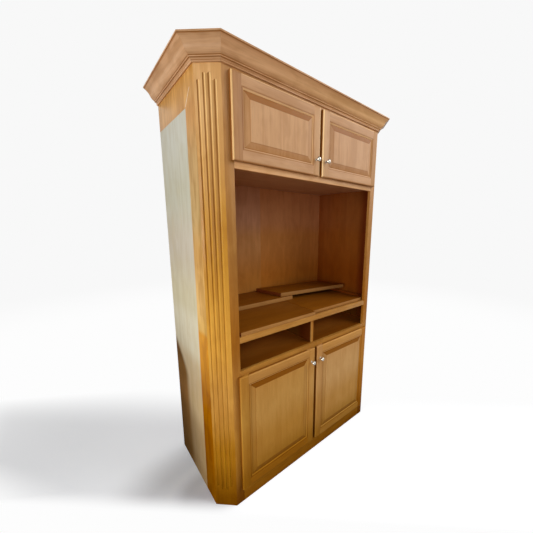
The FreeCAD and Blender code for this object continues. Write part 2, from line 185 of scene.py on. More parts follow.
def ramp(tree: Tree, value: Socket, low: float, high: float, bottom: float = 0.0,
         top: float = 1.0) -> Socket:
    """Map a value smoothly from one range to another, and hold it there.

    Args:
        tree: The material's node tree.
        value: The value to map.
        low: Where the output leaves its bottom.
        high: Where the output reaches its top.
        bottom: Output below low.
        top: Output above high.

    Returns:
        The mapped value socket.
    """
    return add_node(tree, "MapRange", {"Value": value, "From Min": low, "From Max": high,
                                       "To Min": bottom, "To Max": top},
                    interpolation_type="SMOOTHSTEP")


def blend_colour(tree: Tree, share: Any, first: Any, second: Any, mode: str = "MIX") -> Socket:
    """Mix two colours.

    Args:
        tree: The material's node tree.
        share: How much of the second colour, as a socket or a number.
        first: First colour, as a socket or sRGB hex.
        second: Second colour, as a socket or sRGB hex.
        mode: Blender's blend type.

    Returns:
        The colour socket.
    """
    return add_node(tree, "Mix", {0: share, 6: first, 7: second}, out=2, data_type="RGBA",
                    blend_type=mode)


def shaded(tree: Tree, tone: Any, shade: Any) -> Socket:
    """Multiply one colour by another."""
    return blend_colour(tree, 1.0, tone, shade, "MULTIPLY")


def graded(tree: Tree, axis: int, stops: Stops) -> Socket:
    """Colour that changes smoothly along one axis.

    Args:
        tree: The material's node tree.
        axis: Number of the axis.
        stops: Places in metres, lowest first, and the sRGB hex colours there.

    Returns:
        The colour socket.
    """
    value = object_axes(tree)[axis]
    low, high = stops[0][0], stops[-1][0]
    share = add_node(tree, "MapRange", {"Value": value, "From Min": low, "From Max": high})
    colour = add_node(tree, "ValToRGB", {0: share})
    band = colour.node.color_ramp
    band.interpolation = "EASE"
    for _ in stops[2:]:
        band.elements.new(1.0)
    for element, (level, tone) in zip(band.elements, stops):
        element.position, element.color = (level - low) / (high - low), linear(tone)
    return colour


# Finishes -------------------------------------------------------------------------------------

def wood_tone(tree: Tree, space: Socket, pale: str, dark: str, band: float, contrast: float,
              fibre: Triple = (70, 3.0, 0.05)) -> tuple[Socket, Socket]:
    """Quiet figure of maple: soft growth bands and clouds, with fine fibres over them.

    The fibres are drawn about three times as coarse as real ones, so that they show at all.

    Args:
        tree: The material's node tree.
        space: Fibre coordinates in metres.
        pale: Colour of the lighter wood.
        dark: Colour of the darker wood.
        band: Typical width of a growth band in millimetres.
        contrast: Share of the way between the two colours that the figure uses.
        fibre: Length and width of a fibre bundle in millimetres, and how much it darkens.

    Returns:
        The colour socket and the fibre value, which also drives the bump.
    """
    band_length, cloud_length, cloud_width = 420, 150, 70
    bands = streaks(tree, space, band_length, band, 2.0, 0.8)
    clouds = streaks(tree, space, cloud_length, cloud_width, 2.0, 0.6)
    figure = calc(tree, "ADD", bands, clouds)
    share = ramp(tree, figure, 0.78, 1.24, 0.5 - contrast / 2, 0.5 + contrast / 2)
    length, width, deep = fibre
    fibres = streaks(tree, space, length, width, 3.0)
    shade = ramp(tree, fibres, 0.3, 0.75, 1 + deep / 2, 1 - 1.4 * deep)
    grey = add_node(tree, "CombineColor", {0: shade, 1: shade, 2: shade})
    tone = blend_colour(tree, share, pale, dark)
    return shaded(tree, tone, grey), fibres


def lacquered(tree: Tree, tone: Socket, fibre: Socket, roughness: Any, gloss: Any,
              coat: Any = 0.0) -> None:
    """Close a wood material: satin lacquer with the fibres just felt through it.

    Args:
        tree: The material's node tree.
        tone: Colour of the wood.
        fibre: Fibre value for the bump.
        roughness: Roughness of the lacquer, as a socket or a number.
        gloss: Specular level of the lacquer, as a socket or a number.
        coat: Weight of the clear coat, as a socket or a number.
    """
    bump = add_node(tree, "Bump", {"Height": fibre, "Strength": 0.12, "Distance": 0.15 * MM})
    shader = add_node(tree, "BsdfPrincipled", {"Base Color": tone, "Roughness": roughness,
                                               "IOR": 1.5, "Specular IOR Level": gloss,
                                               "Coat Weight": coat, "Coat Roughness": 0.16,
                                               "Normal": bump})
    add_node(tree, "OutputMaterial", {0: shader}, None)


@dataclass(frozen=True)
class Finish:
    """What all finishes share: a name, and a material filled with their own nodes."""

    name: str

    def fill(self, tree: Tree) -> None:
        """Add the finish's nodes to an empty tree."""
        raise NotImplementedError

    def material(self) -> Material:
        """Make the material.

        Returns:
            The finished node material.
        """
        material, tree = new_material(self.name)
        self.fill(tree)
        return material


@dataclass(frozen=True)
class MapleFinish(Finish):
    """Hard maple, planed and sanded, under a clear amber lacquer.

    The eye sees an even tan ground with faint bands and clouds and short fine flecks. The piece's
    attribute soak_and_painted_light darkens the wood above 0, partly where the lacquer soaks into
    end grain and partly as painted shade in creases, corners and faces turned from the light, and
    lightens it below 0 as a painted highlight on rounds, flute walls and mouldings. Each board is a
    little lighter or darker than its neighbours, partly in its own tone and partly as painted light
    and shade (tint_and_painted_light). The colour is graded by height, more amber and darker
    towards the floor, as amber tone and painted shade, and the lacquer loses its shine there.
    """

    pale: str = "#CFA278"
    dark: str = "#B5865A"
    # dark colour of the flecks, of end-grain soak and of painted shade
    dark_soak_and_shade: str = "#9C6428"
    # colour of the painted highlights
    painted_highlight: str = "#EFC488"
    # multiplies the colour by height: amber tone and painted shade, darker towards the floor
    amber_and_painted_shade_by_height: Stops = ((0.0, "#F6DCA0"), (1.75, "#FFFFFF"))
    fibres: Fibres = Fibres.BOARD
    roughness: float = 0.38
    gloss: float = 0.1
    coat: float = 0.05
    band: float = 24.0              # growth bands, real ones are 5 to 30 mm apart
    contrast: float = 0.6

    def fill(self, tree: Tree) -> None:
        """Add the finish's nodes."""
        space = fibre_space(tree, self.fibres)
        tone, fibre = wood_tone(tree, space, self.pale, self.dark, self.band, self.contrast)
        flecks = streaks(tree, space, 22, 1.6, 1.0)
        tone = blend_colour(tree, ramp(tree, flecks, 0.66, 0.78, 0.0, 0.14), tone, self.dark_soak_and_shade)
        # above 0 soaked lacquer and painted shade, below 0 a painted highlight
        soak_and_painted_light = add_node(tree, "Attribute", out="Fac", attribute_name="soak_and_painted_light")
        tone = blend_colour(tree, soak_and_painted_light, tone, self.dark_soak_and_shade)
        wear_and_painted_light = calc(tree, "MULTIPLY", soak_and_painted_light, -1.0)
        tone = blend_colour(tree, wear_and_painted_light, tone, self.painted_highlight)
        # the board's own tone with painted light and shade
        tint_and_painted_light = add_node(tree, "Attribute", out="Vector", attribute_name="tint_and_painted_light")
        tone = shaded(tree, tone, tint_and_painted_light)
        # amber tone and painted shade by height
        tone = shaded(tree, tone, graded(tree, 2, self.amber_and_painted_shade_by_height))
        clouds = streaks(tree, space, 120, 46, 2.0, 0.4)
        rough = ramp(tree, clouds, 0.3, 0.7, self.roughness - 0.05, self.roughness + 0.06)
        height = object_axes(tree)[2]
        lacquered(tree, tone, fibre, rough, ramp(tree, height, 0.0, 1.2, 0.0, self.gloss),
                  ramp(tree, height, 0.2, 1.2, 0.0, self.coat))


@dataclass(frozen=True)
class SidePlyFinish(Finish):
    """Outer face of a side: one sheet of maple ply, lacquered along its front and its top.

    Behind a ruled edge the veneer is bare: grey cream, with faint long figure and scuffs, graded by
    height with painted light and shade, and with a painted shadow low down at the back. The
    lacquered part is amber and glossy, darker and more amber towards the floor as amber tone and
    painted shade, with paler painted reflections at about 1 m and 1.6 m up.
    """

    front: float            # y of the sheet's front edge
    strip: float            # width of the lacquered strip at the front, at the top
    strip_low: float        # the same at the floor
    band: float             # height above which the whole sheet is lacquered
    amber: str = "#EABC70"
    amber_dark: str = "#CD9C50"
    bare: str = "#E9E1CF"
    bare_dark: str = "#D8CAAD"
    warm: str = "#E4D2AC"
    # colours of the painted shadow low down at the back of the bare veneer
    painted_shadow_tones: Stops = (
        (0.05, "#DCC8A8"), (0.3, "#DCC09B"), (0.45, "#D0AC88"), (0.6, "#AE8E64"), (0.7, "#8C6A44"))
    # multiplies the lacquered strip by height: amber tone, painted shade towards the floor, and
    # paler painted reflections at about 1 m and 1.6 m
    strip_amber_painted_shade_and_reflections: Stops = (
        (0.05, "#A58319"), (0.3, "#B08510"), (0.6, "#BF950E"), (0.86, "#F2CF34"),
        (0.925, "#F4D23C"), (0.955, "#F8F7DD"), (1.08, "#FFFFFF"), (1.3, "#E4D9C3"),
        (1.5, "#DAE0F0"), (1.7, "#DADCEA"), (1.92, "#DFC9AE"), (1.98, "#F0E4DA"))
    # multiplies the bare veneer by height: its own tone with painted light and shade
    bare_tone_and_painted_light_by_height: Stops = (
        (0.05, "#DCC29C"), (0.15, "#E4CEAC"), (0.3, "#E4CDAC"), (0.45, "#F8E6C6"),
        (0.6, "#F0E0C8"), (0.7, "#ECE0CC"), (0.8, "#F8F8F0"), (0.95, "#F8FAF4"),
        (1.05, "#EDEDDF"), (1.35, "#E4E3E4"), (1.6, "#DDE4E4"), (1.9, "#E6EFF8"))
    sliver: tuple[float, float, float, float] = (-0.074, 1.936, -0.135, 1.999)

    def fill(self, tree: Tree) -> None:
        """Add the finish's nodes."""
        _, across, height = object_axes(tree)
        space = fibre_space(tree, Fibres.ALONG_Z)
        amber, fibre = wood_tone(tree, space, self.amber, self.amber_dark, 30, 1.0)
        bare, _ = wood_tone(tree, space, self.bare, self.bare_dark, 18, 0.45, (420, 4.0, 0.04))
        scuffs = streaks(tree, space, 160, 60, 4.0, 1.5)
        bare = blend_colour(tree, ramp(tree, scuffs, 0.55, 0.75, 0.0, 0.35), bare, self.warm)
        # the bare veneer graded by height with painted light and shade
        bare = shaded(tree, bare, graded(tree, 2, self.bare_tone_and_painted_light_by_height))
        # painted shadow low down at the back of the bare veneer
        bare = blend_colour(tree, self.painted_shadow_mask(tree, across, height), bare,
                            graded(tree, 2, self.painted_shadow_tones), "MULTIPLY")
        slant = (self.strip - self.strip_low) / self.band
        ruled = calc(tree, "MULTIPLY_ADD", height, slant, self.front + self.strip_low)
        behind = calc(tree, "SUBTRACT", across, ruled)
        soft = 1.5 * MM             # the ruled edge of the lacquer is this soft
        bare_y = ramp(tree, behind, -soft, soft)
        bare_z = ramp(tree, height, self.band - soft, self.band + soft, 1.0, 0.0)
        is_bare = calc(tree, "MULTIPLY", bare_y, bare_z)
        # the strip graded by height with painted shade and painted reflections
        amber = shaded(tree, amber, graded(tree, 2, self.strip_amber_painted_shade_and_reflections))
        tone = blend_colour(tree, is_bare, amber, bare)
        tone = blend_colour(tree, self.lifted(tree, across, height), tone, self.bare)
        rough = ramp(tree, is_bare, 0.0, 1.0, 0.3, 0.75)
        lacquered(tree, tone, fibre, rough, ramp(tree, height, 0.5, 1.2, 0.0, 0.08))

    def painted_shadow_mask(self, tree: Tree, across: Socket, height: Socket) -> Socket:
        """Where a painted shadow darkens the bare veneer low down at the back, from 0 to 1.

        The painted shadow's front edge leans back over its lowest hand's breadth and bends back to
        the sheet's rear edge at knee height.

        Args:
            tree: The material's node tree.
            across: Distance from front to back.
            height: Height above the floor.

        Returns:
            The mask socket.
        """
        foot = ramp(tree, height, 0.0, 0.4, 0.12, 0.14)
        bend_back = ramp(tree, height, 0.58, 0.86, 0.0, 0.22)
        edge = calc(tree, "ADD", foot, bend_back)
        inside = calc(tree, "SUBTRACT", across, edge)
        return ramp(tree, inside, -0.03, 0.05)

    def lifted(self, tree: Tree, across: Socket, height: Socket) -> Socket:
        """Where a thin sliver of the lacquered face is chipped off, from 0 to 1.

        A point belongs to it when it lies within a millimetre or two of the line through the
        sliver's two ends, and between their heights.

        Args:
            tree: The material's node tree.
            across: Distance from front to back.
            height: Height above the floor.

        Returns:
            The mask socket.
        """
        start, low, end, high = self.sliver
        lean = (end - start) / (high - low)
        line = calc(tree, "MULTIPLY_ADD", height, lean, start - low * lean)
        away = calc(tree, "SUBTRACT", across, line)
        away = calc(tree, "ABSOLUTE", away)
        core, rim, taper = 1.2 * MM, 3.4 * MM, 4 * MM
        near = ramp(tree, away, core, rim, 1.0, 0.0)
        above = ramp(tree, height, low, low + taper)
        below = ramp(tree, height, high - taper, high, 1.0, 0.0)
        both = calc(tree, "MULTIPLY", above, below)
        return calc(tree, "MULTIPLY", near, both)


@dataclass(frozen=True)
class PlyFinish(Finish):
    """Rotary-cut maple veneer on ply: wide wandering figure and a joint between its leaves.

    Lacquered the same amber as the solid wood, but flatter and a little redder. It is darker near
    the front as painted shade inside the case, and yellower and darker further down as amber tone
    and painted shade.
    """

    pale: str = "#D9A282"
    dark: str = "#BD8765"
    second: str = "#FFF1D3"         # every other leaf is this much yellower
    # multiplies the colour by height: amber tone and painted shade
    amber_and_painted_shade_by_height: Stops = ((0.75, "#E8E496"), (1.05, "#EDD277"),
                                           (1.35, "#FFF7C3"), (1.5, "#FFFFF8"), (1.7, "#FFFFFF"))
    # multiplies the colour from front to back: painted shade, darkest just behind the front edge
    painted_shading: Stops = (
        (-0.243, "#FFFFFF"), (-0.23, "#6A452C"), (-0.16, "#7C502C"), (-0.08, "#AC9268"),
        (0.02, "#C8AE84"), (0.12, "#E6D0A0"), (0.22, "#EAD8B4"), (0.312, "#DCC49C"),
        (0.3175, "#FFFFFF"))
    fibres: Fibres = Fibres.ALONG_X
    roughness: float = 0.42
    gloss: float = 0.06
    band: float = 45.0              # rotary cutting spreads the growth bands wide
    contrast: float = 0.45
    leaf: float = 0.0               # width of one leaf of veneer in metres, or 0 for no joints
    joint: float = 2.5 * MM         # how far a joint's shadow reaches

    def fill(self, tree: Tree) -> None:
        """Add the finish's nodes."""
        space = fibre_space(tree, self.fibres)
        if self.leaf:
            across = add_node(tree, "SeparateXYZ", {0: space}, out=1)
            number = calc(tree, "DIVIDE", across, self.leaf)
            whole = calc(tree, "FLOOR", number)
            shift = add_node(tree, "CombineXYZ", {0: whole, 1: 0.0, 2: whole})
            space = add_node(tree, "VectorMath", {0: space, 1: shift}, operation="ADD")
        tone, fibre = wood_tone(tree, space, self.pale, self.dark, self.band, self.contrast)
        if self.leaf:
            even = calc(tree, "FLOORED_MODULO", whole, 2.0)
            tone = blend_colour(tree, even, shaded(tree, tone, self.second), tone)
            part = calc(tree, "FRACT", number)
            joint = ramp(tree, part, 0.0, self.joint / self.leaf, 0.35, 0.0)
            tone = blend_colour(tree, joint, tone, self.dark)
        lacquered(tree, self.wear_and_painted_light(tree, tone), fibre, self.roughness, self.gloss)

    def wear_and_painted_light(self, tree: Tree, tone: Socket) -> Socket:
        """Darken a tone by height and by depth: amber tone and painted shade."""
        for axis, stops in ((2, self.amber_and_painted_shade_by_height), (1, self.painted_shading)):
            if stops:
                tone = shaded(tree, tone, graded(tree, axis, stops))
        return tone


@dataclass(frozen=True)
class PlyEdgeFinish(Finish):
    """Sawn edge of veneer-core ply: thin pale and brown layers, one behind the other."""

    pale: str = "#C9A272"
    dark: str = "#8F683C"
    plies: int = 7
    thickness: float = 19.0         # of the whole sheet in millimetres

    def fill(self, tree: Tree) -> None:
        """Add the finish's nodes."""
        space = fibre_space(tree, Fibres.BOARD)
        split = add_node(tree, "SeparateXYZ", {0: space}, None)
        ply = self.thickness * MM / self.plies
        count = calc(tree, "DIVIDE", split[2], 2 * ply)
        part = calc(tree, "FRACT", count)
        band = ramp(tree, part, 0.44, 0.56)
        grit = streaks(tree, space, 6, 1.4, 2.0)
        tone = blend_colour(tree, band, self.pale, self.dark)
        tone = blend_colour(tree, ramp(tree, grit, 0.4, 0.8, 0.0, 0.4), tone, self.dark)
        shader = add_node(tree, "BsdfPrincipled", {"Base Color": tone, "Roughness": 0.6,
                                                   "Specular IOR Level": 0.25})
        add_node(tree, "OutputMaterial", {0: shader}, None)


@dataclass(frozen=True)
class MetalFinish(Finish):
    """Plated or bare metal: bright nickel, zinc-plated steel or dark bronze.

    Fine brushing or casting grain only shows as a slight unevenness of the gloss.
    """

    colour: str
    wear_and_painted_light: str
    roughness: float
    grain: float            # width of the unevenness in millimetres

    def fill(self, tree: Tree) -> None:
        """Add the finish's nodes."""
        place = add_node(tree, "TexCoord", out="Object")
        cloud = add_node(tree, "TexNoise", {"Vector": place, "Scale": 1 / (self.grain * MM),
                                            "Detail": 3.0})
        tone = blend_colour(tree, ramp(tree, cloud, 0.45, 0.7, 0.0, 0.6), self.colour, self.wear_and_painted_light)
        rough = ramp(tree, cloud, 0.3, 0.7, self.roughness, self.roughness + 0.08)
        shader = add_node(tree, "BsdfPrincipled", {"Base Color": tone, "Roughness": rough,
                                                   "Metallic": 1.0})
        add_node(tree, "OutputMaterial", {0: shader}, None)


# Surfaces -------------------------------------------------------------------------------------

@dataclass
class Shell:
    """A closed mesh being put together.

    Attributes:
        points: Vertex places, one row each, in metres.
        faces: Vertex numbers of each face.
        soak_and_painted_light: From -1, a painted highlight, to 1, darkened by soaked lacquer and
            by painted shade, at each vertex.
        corner_soak_and_painted_light: The same for each corner of each face, where faces of one
            vertex differ.
        paint: Number of the material of each face.
    """

    points: Array
    faces: list[list[int]]
    soak_and_painted_light: Array
    corner_soak_and_painted_light: Array | None = None
    paint: Array | None = None

    def volume(self) -> float:
        """Signed volume: the sum over all triangles of a fan of each face of a . (b x c) / 6."""
        total = 0.0
        for size in sorted({len(one) for one in self.faces}):
            alike = np.array([one for one in self.faces if len(one) == size])
            first = self.points[alike[:, 0]]
            for corner in range(1, size - 1):
                second, third = self.points[alike[:, corner]], self.points[alike[:, corner + 1]]
                total += float(np.einsum("ij,ij->", first, np.cross(second, third)))
        return total / 6

    def face_out(self) -> "Shell":
        """Turn every face round if they look inwards, and give the shell back."""
        if self.volume() < 0:
            self.faces = [one[::-1] for one in self.faces]
        return self

    def centres(self) -> Array:
        """Middle of each face's corners, one row each."""
        return np.array([self.points[one].mean(axis=0) for one in self.faces])


@dataclass(frozen=True)
class Lie:
    """How a board lies: the directions of its fibres and of its width."""

    along: Triple
    across: Triple


UPRIGHT = Lie(Z_AXIS, X_AXIS)
LEVEL = Lie(X_AXIS, Z_AXIS)


def bend(start: Sequence[float], end: Sequence[float], bulge: float, steps: int = 8) -> Array:
    """Points on an arc between two points of a plane.

    With half chord a and bulge b, the arc turns through 4 atan(b / a) about a centre on the
    chord's middle line; positive b bulges to the right of the way from start to end.

    Args:
        start: First point.
        end: Last point.
        bulge: Height of the arc over its chord.
        steps: Number of equal turns.

    Returns:
        Array (steps + 1, 2).
    """
    first, last = np.asarray(start, float), np.asarray(end, float)
    if abs(bulge) < 1e-9:
        return np.stack([first, last])
    half = np.linalg.norm(last - first) / 2
    turn = 4 * math.atan(bulge / half)
    radius = half / math.sin(turn / 2)
    angle = np.linspace(-0.5, 0.5, steps + 1) * turn
    forward = (last - first) / (2 * half)
    right = np.array([forward[1], -forward[0]])
    along = radius * np.sin(angle)
    out = radius * (np.cos(angle) - math.cos(turn / 2))
    return (first + last) / 2 + along[:, None] * forward + out[:, None] * right


def chain(stops: Sequence[tuple[float, float]], bulges: Sequence[float], steps: int = 8) -> Array:
    """Join arcs and straight runs through a list of stops.

    Args:
        stops: The points of the outline.
        bulges: One bulge for each run between stops.
        steps: Steps of each arc.

    Returns:
        Array (n, 2) with no point twice.
    """
    runs = [bend(a, b, bulge, steps)[:-1] for a, b, bulge in zip(stops, stops[1:], bulges)]
    return np.concatenate(runs + [np.asarray(stops[-1:], float)])


def corner_normals(corners: Array) -> tuple[Array, Array]:
    """Unit directions back to the corner before and on to the corner after each corner."""
    back = np.roll(corners, 1, axis=0) - corners
    ahead = np.roll(corners, -1, axis=0) - corners
    back /= np.linalg.norm(back, axis=1, keepdims=True)
    ahead /= np.linalg.norm(ahead, axis=1, keepdims=True)
    return back, ahead


def shrink(corners: Array, amount: float) -> Array:
    """Move every side of a convex outline inwards.

    A corner moves along the sum of its two side directions, by amount over the sine of the angle
    between them.

    Args:
        corners: Array (n, 2).
        amount: Distance to move.

    Returns:
        Array (n, 2).
    """
    back, ahead = corner_normals(corners)
    sine = np.abs(back[:, 0] * ahead[:, 1] - back[:, 1] * ahead[:, 0])
    return corners + (back + ahead) * (amount / sine)[:, None]


def ease(corners: Array, radius: float, steps: int = 3) -> Array:
    """Round the corners of an outline.

    Each corner C becomes the parabola (1-t)^2 A + 2t(1-t) C + t^2 B between points A and B, which
    lie one radius before and after it.

    Args:
        corners: Array (n, 2).
        radius: Length taken off each side at a corner.
        steps: Steps round each corner.

    Returns:
        Array (n * (steps + 1), 2).
    """
    back, ahead = corner_normals(corners)
    share = np.linspace(0, 1, steps + 1)[None, :, None]
    before = (corners + back * radius)[:, None]
    after = (corners + ahead * radius)[:, None]
    middle = corners[:, None]
    curve = (1 - share) ** 2 * before + 2 * share * (1 - share) * middle + share ** 2 * after
    return curve.reshape(-1, 2)


def loft(rings: Array, soak_and_painted_light: Array | float = 0.0) -> Shell:
    """Skin a row of closed sections and close both ends.

    Args:
        rings: Array (m, n, 3): m sections of n points each.
        soak_and_painted_light: Soaked lacquer, painted shade and painted highlight of each point,
        as (m, n), (n,) or one number.

    Returns:
        A closed shell that faces outwards.
    """
    rows, size = rings.shape[:2]
    index = np.arange(rows * size).reshape(rows, size)
    ahead = np.roll(index, -1, axis=1)
    quads = np.stack([index[:-1], ahead[:-1], ahead[1:], index[1:]], axis=-1).reshape(-1, 4)
    faces = quads.tolist() + [index[0][::-1].tolist(), index[-1].tolist()]
    soaks_and_painted_light = np.broadcast_to(soak_and_painted_light, (rows, size)).astype(float).ravel()
    return Shell(rings.reshape(-1, 3), faces, soaks_and_painted_light).face_out()


def rounding(width: float, steps: int) -> Array:
    """Distances w (1 - cos a) for a from 0 to a quarter turn, closest where a round is steep."""
    return width * (1 - np.cos(np.linspace(0, 0.5, steps) * math.pi))


def eased_prism(corners: Array, span: tuple[float, float], radius: float,
                place: Sequence[Sequence[float]] = (X_AXIS, Y_AXIS, Z_AXIS)) -> Shell:
    """Carry an outline along a straight line, with all its edges eased.

    Near each end the outline shrinks by r (1 - sin a) while it moves r (1 - cos a), for a from 0
    to a quarter turn.

    Args:
        corners: Convex outline (n, 2).
        span: Where the line starts and ends, along the third direction.
        radius: Ease of all edges.
        place: Directions in space of the outline's two axes and of the line.

    Returns:
        A closed shell.
    """
    turns = np.array([0.0, math.pi / 4, math.pi / 2])
    insets = radius * (1 - np.sin(turns))
    shifts = radius * (1 - np.cos(turns))
    least = 0.15 * radius       # the corners stay this round where the outline is smallest
    stations = np.concatenate([span[0] + shifts, span[1] - shifts[::-1]])
    flat = np.stack([ease(shrink(corners, inset), max(radius - inset, least))
                     for inset in np.concatenate([insets, insets[::-1]])])
    first, second, third = (np.asarray(way, float) for way in place)
    return loft(flat[..., :1] * first + flat[..., 1:] * second + stations[:, None, None] * third)


def block(low: Sequence[float], high: Sequence[float], radius: float, run: int = 2) -> Shell:
    """Rectangular board with eased edges.

    Args:
        low: Lowest corner.
        high: Highest corner.
        radius: Ease of the edges.
        run: Number of the axis that the outline is carried along.

    Returns:
        A closed shell.
    """
    first, second = [axis for axis in range(3) if axis != run]
    corners = np.array([(low[first], low[second]), (high[first], low[second]),
                        (high[first], high[second]), (low[first], high[second])])
    axes = np.eye(3)
    return eased_prism(corners, (low[run], high[run]), radius,
                       (axes[first], axes[second], axes[run]))


def lathe(profile: Array, centre: Sequence[float], steps: int = 40) -> Shell:
    """Turn a profile about a line that runs forward (towards -y).

    A point (r, d) of the profile goes to the circle x = r cos a, z = r sin a, y = -d.

    Args:
        profile: Array (m, 2) of radius and distance forward; the ends have a small radius.
        centre: The point that distance 0 and radius 0 stand for.
        steps: Points round the circle.

    Returns:
        A closed shell.
    """
    angle = np.linspace(0, 2 * math.pi, steps, endpoint=False)
    radius = profile[:, :1]
    depth = np.broadcast_to(-profile[:, 1:], (len(profile), steps))
    rings = np.stack([radius * np.cos(angle), depth, radius * np.sin(angle)], axis=-1)
    return loft(rings + np.asarray(centre, float))


# Colour factor of each board beside the others of its finish, in red, green and blue: partly the
# board's own tone, partly painted light and shade that lifts boards lying in shade, such as the
# header and platform rails, and darkens others
BOARD_TINTS_AND_PAINTED_LIGHT: dict[str | None, Triple] = {
    "crown_left_angle": (0.8, 0.8, 0.8),
    "crown_right_angle": (0.8, 0.8, 0.8),
    "upper_left_hinge_stile": (0.84, 0.77, 0.66),
    "upper_right_hinge_stile": (0.85, 0.79, 0.62),
    "upper_left_panel": (1.05, 1.05, 1.0),
    "upper_left_lock_stile": (1.06, 1.08, 1.06),
    "upper_right_lock_stile": (1.08, 1.12, 1.12),
    "lower_left_hinge_stile": (0.92, 0.86, 0.55),
    "lower_left_panel": (0.98, 0.98, 0.9),
    "lower_left_bottom_rail": (0.92, 0.82, 0.55),
    "lower_right_panel": (1.08, 1.17, 1.6),
    "lower_right_top_rail": (1.12, 1.15, 1.2),
    "lower_right_bottom_rail": (1.12, 1.2, 2.0),
    "lower_right_lock_stile": (1.02, 1.04, 1.3),
    "lower_right_hinge_stile": (0.86, 0.7, 0.36),
    "header_rail": (1.64, 2.0, 3.4),
    "platform_rail": (1.32, 1.72, 4.4),
    "bay_rail": (0.91, 0.92, 0.91),
    "base_rail": (1.32, 1.5, 1.3),
    "crown_front": (0.95, 0.93, 0.92),
}


def put(name: str, data: bpy.types.ID) -> bpy.types.Object:
    """Add an object to the scene."""
    thing = bpy.data.objects.new(name, data)
    bpy.context.scene.collection.objects.link(thing)
    return thing


def dress(node: str, material: Material) -> None:
    """Give a node of the construction model its finish."""
    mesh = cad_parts[node].data
    mesh.materials.clear()
    mesh.materials.append(material)


@dataclass
class Workshop:
    """Turns shells into pieces: mesh, fibre attribute, finish, body and the node it stands for."""

    count: int = 0

    def add(self, name: str, shell: Shell, finishes: Sequence[Material], body: str,
            lie: Lie = UPRIGHT, node: str | None = None, slot: str | None = None,
            sharp: float = 28.0) -> None:
        """Make one piece.

        The attribute grain holds each vertex's place along, across and through the board, moved by
        a few metres that depend on the name, so that no two boards match; soak_and_painted_light
        and tint_and_painted_light hold how dark the lacquer is in places and on the whole board,
        with soaked lacquer, painted shade and painted highlights in the first, and the board's own
        tone with painted light and shade in the second.

        Args:
            name: Name of the piece.
            shell: Its surface.
            finishes: Its materials, in the order that the shell's paint numbers them.
            body: The body that it rides on.
            lie: How its fibres run.
            node: The node it stands for, if any.
            slot: The record's material slot; not used.
            sharp: Edges that turn by more than this many degrees stay sharp.
        """
        mesh = bpy.data.meshes.new(name)
        mesh.from_pydata(shell.points.tolist(), [], shell.faces)
        mesh.polygons.foreach_set("use_smooth", np.ones(len(shell.faces), bool))
        if shell.paint is not None:
            mesh.polygons.foreach_set("material_index", shell.paint)
        mesh.set_sharp_from_angle(angle=math.radians(sharp))
        along, across = np.array(lie.along), np.array(lie.across)
        axes = np.stack([along, across, np.cross(along, across)])
        seed = zlib.crc32(name.encode())        # the same for a name in every run
        shift = np.random.default_rng(seed).uniform(2, 9, 3) * (1, 1, 0)
        middle = (shell.points.min(axis=0) + shell.points.max(axis=0)) / 2
        grain = (shell.points - middle) @ axes.T + shift
        # the board's own tone with painted light and shade, for every vertex
        tint_and_painted_light = np.tile(BOARD_TINTS_AND_PAINTED_LIGHT.get(node, (1.0, 1.0, 1.0)), (len(shell.points), 1))
        soak_and_painted_light = ("POINT", shell.soak_and_painted_light) if shell.corner_soak_and_painted_light is None else ("CORNER", shell.corner_soak_and_painted_light)
        for label, kind, member, (domain, values) in (
                ("grain", "FLOAT_VECTOR", "vector", ("POINT", grain)),
                ("soak_and_painted_light", "FLOAT", "value", soak_and_painted_light),
                ("tint_and_painted_light", "FLOAT_VECTOR", "vector", ("POINT", tint_and_painted_light))):
            mesh.attributes.new(label, kind, domain).data.foreach_set(
                member, values.astype(np.float32).ravel())
        for finish in finishes:
            mesh.materials.append(finish)
        piece = put(name, mesh)
        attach(piece, body)
        if node:
            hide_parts(node)
        self.count += 1
        LOG.info("%-34s %6d faces on %s", name, len(shell.faces), body)


def join(shells: Sequence[Shell]) -> Shell:
    """Put separate shells into one piece."""
    starts = np.cumsum([0] + [len(shell.points) for shell in shells[:-1]])
    faces = [[number + int(start) for number in one]
             for shell, start in zip(shells, starts) for one in shell.faces]
    return Shell(np.concatenate([shell.points for shell in shells]), faces,
                 np.concatenate([shell.soak_and_painted_light for shell in shells]))


# The armoire ----------------------------------------------------------------------------------

MITRE = math.tan(math.pi / 8)       # how far a 45 degree corner's mitre runs aside for its depth
GROOVE_FRONT = 6.5 * MM             # the two walls of a door's groove, from the door's front
GROOVE_BACK = 12.5 * MM


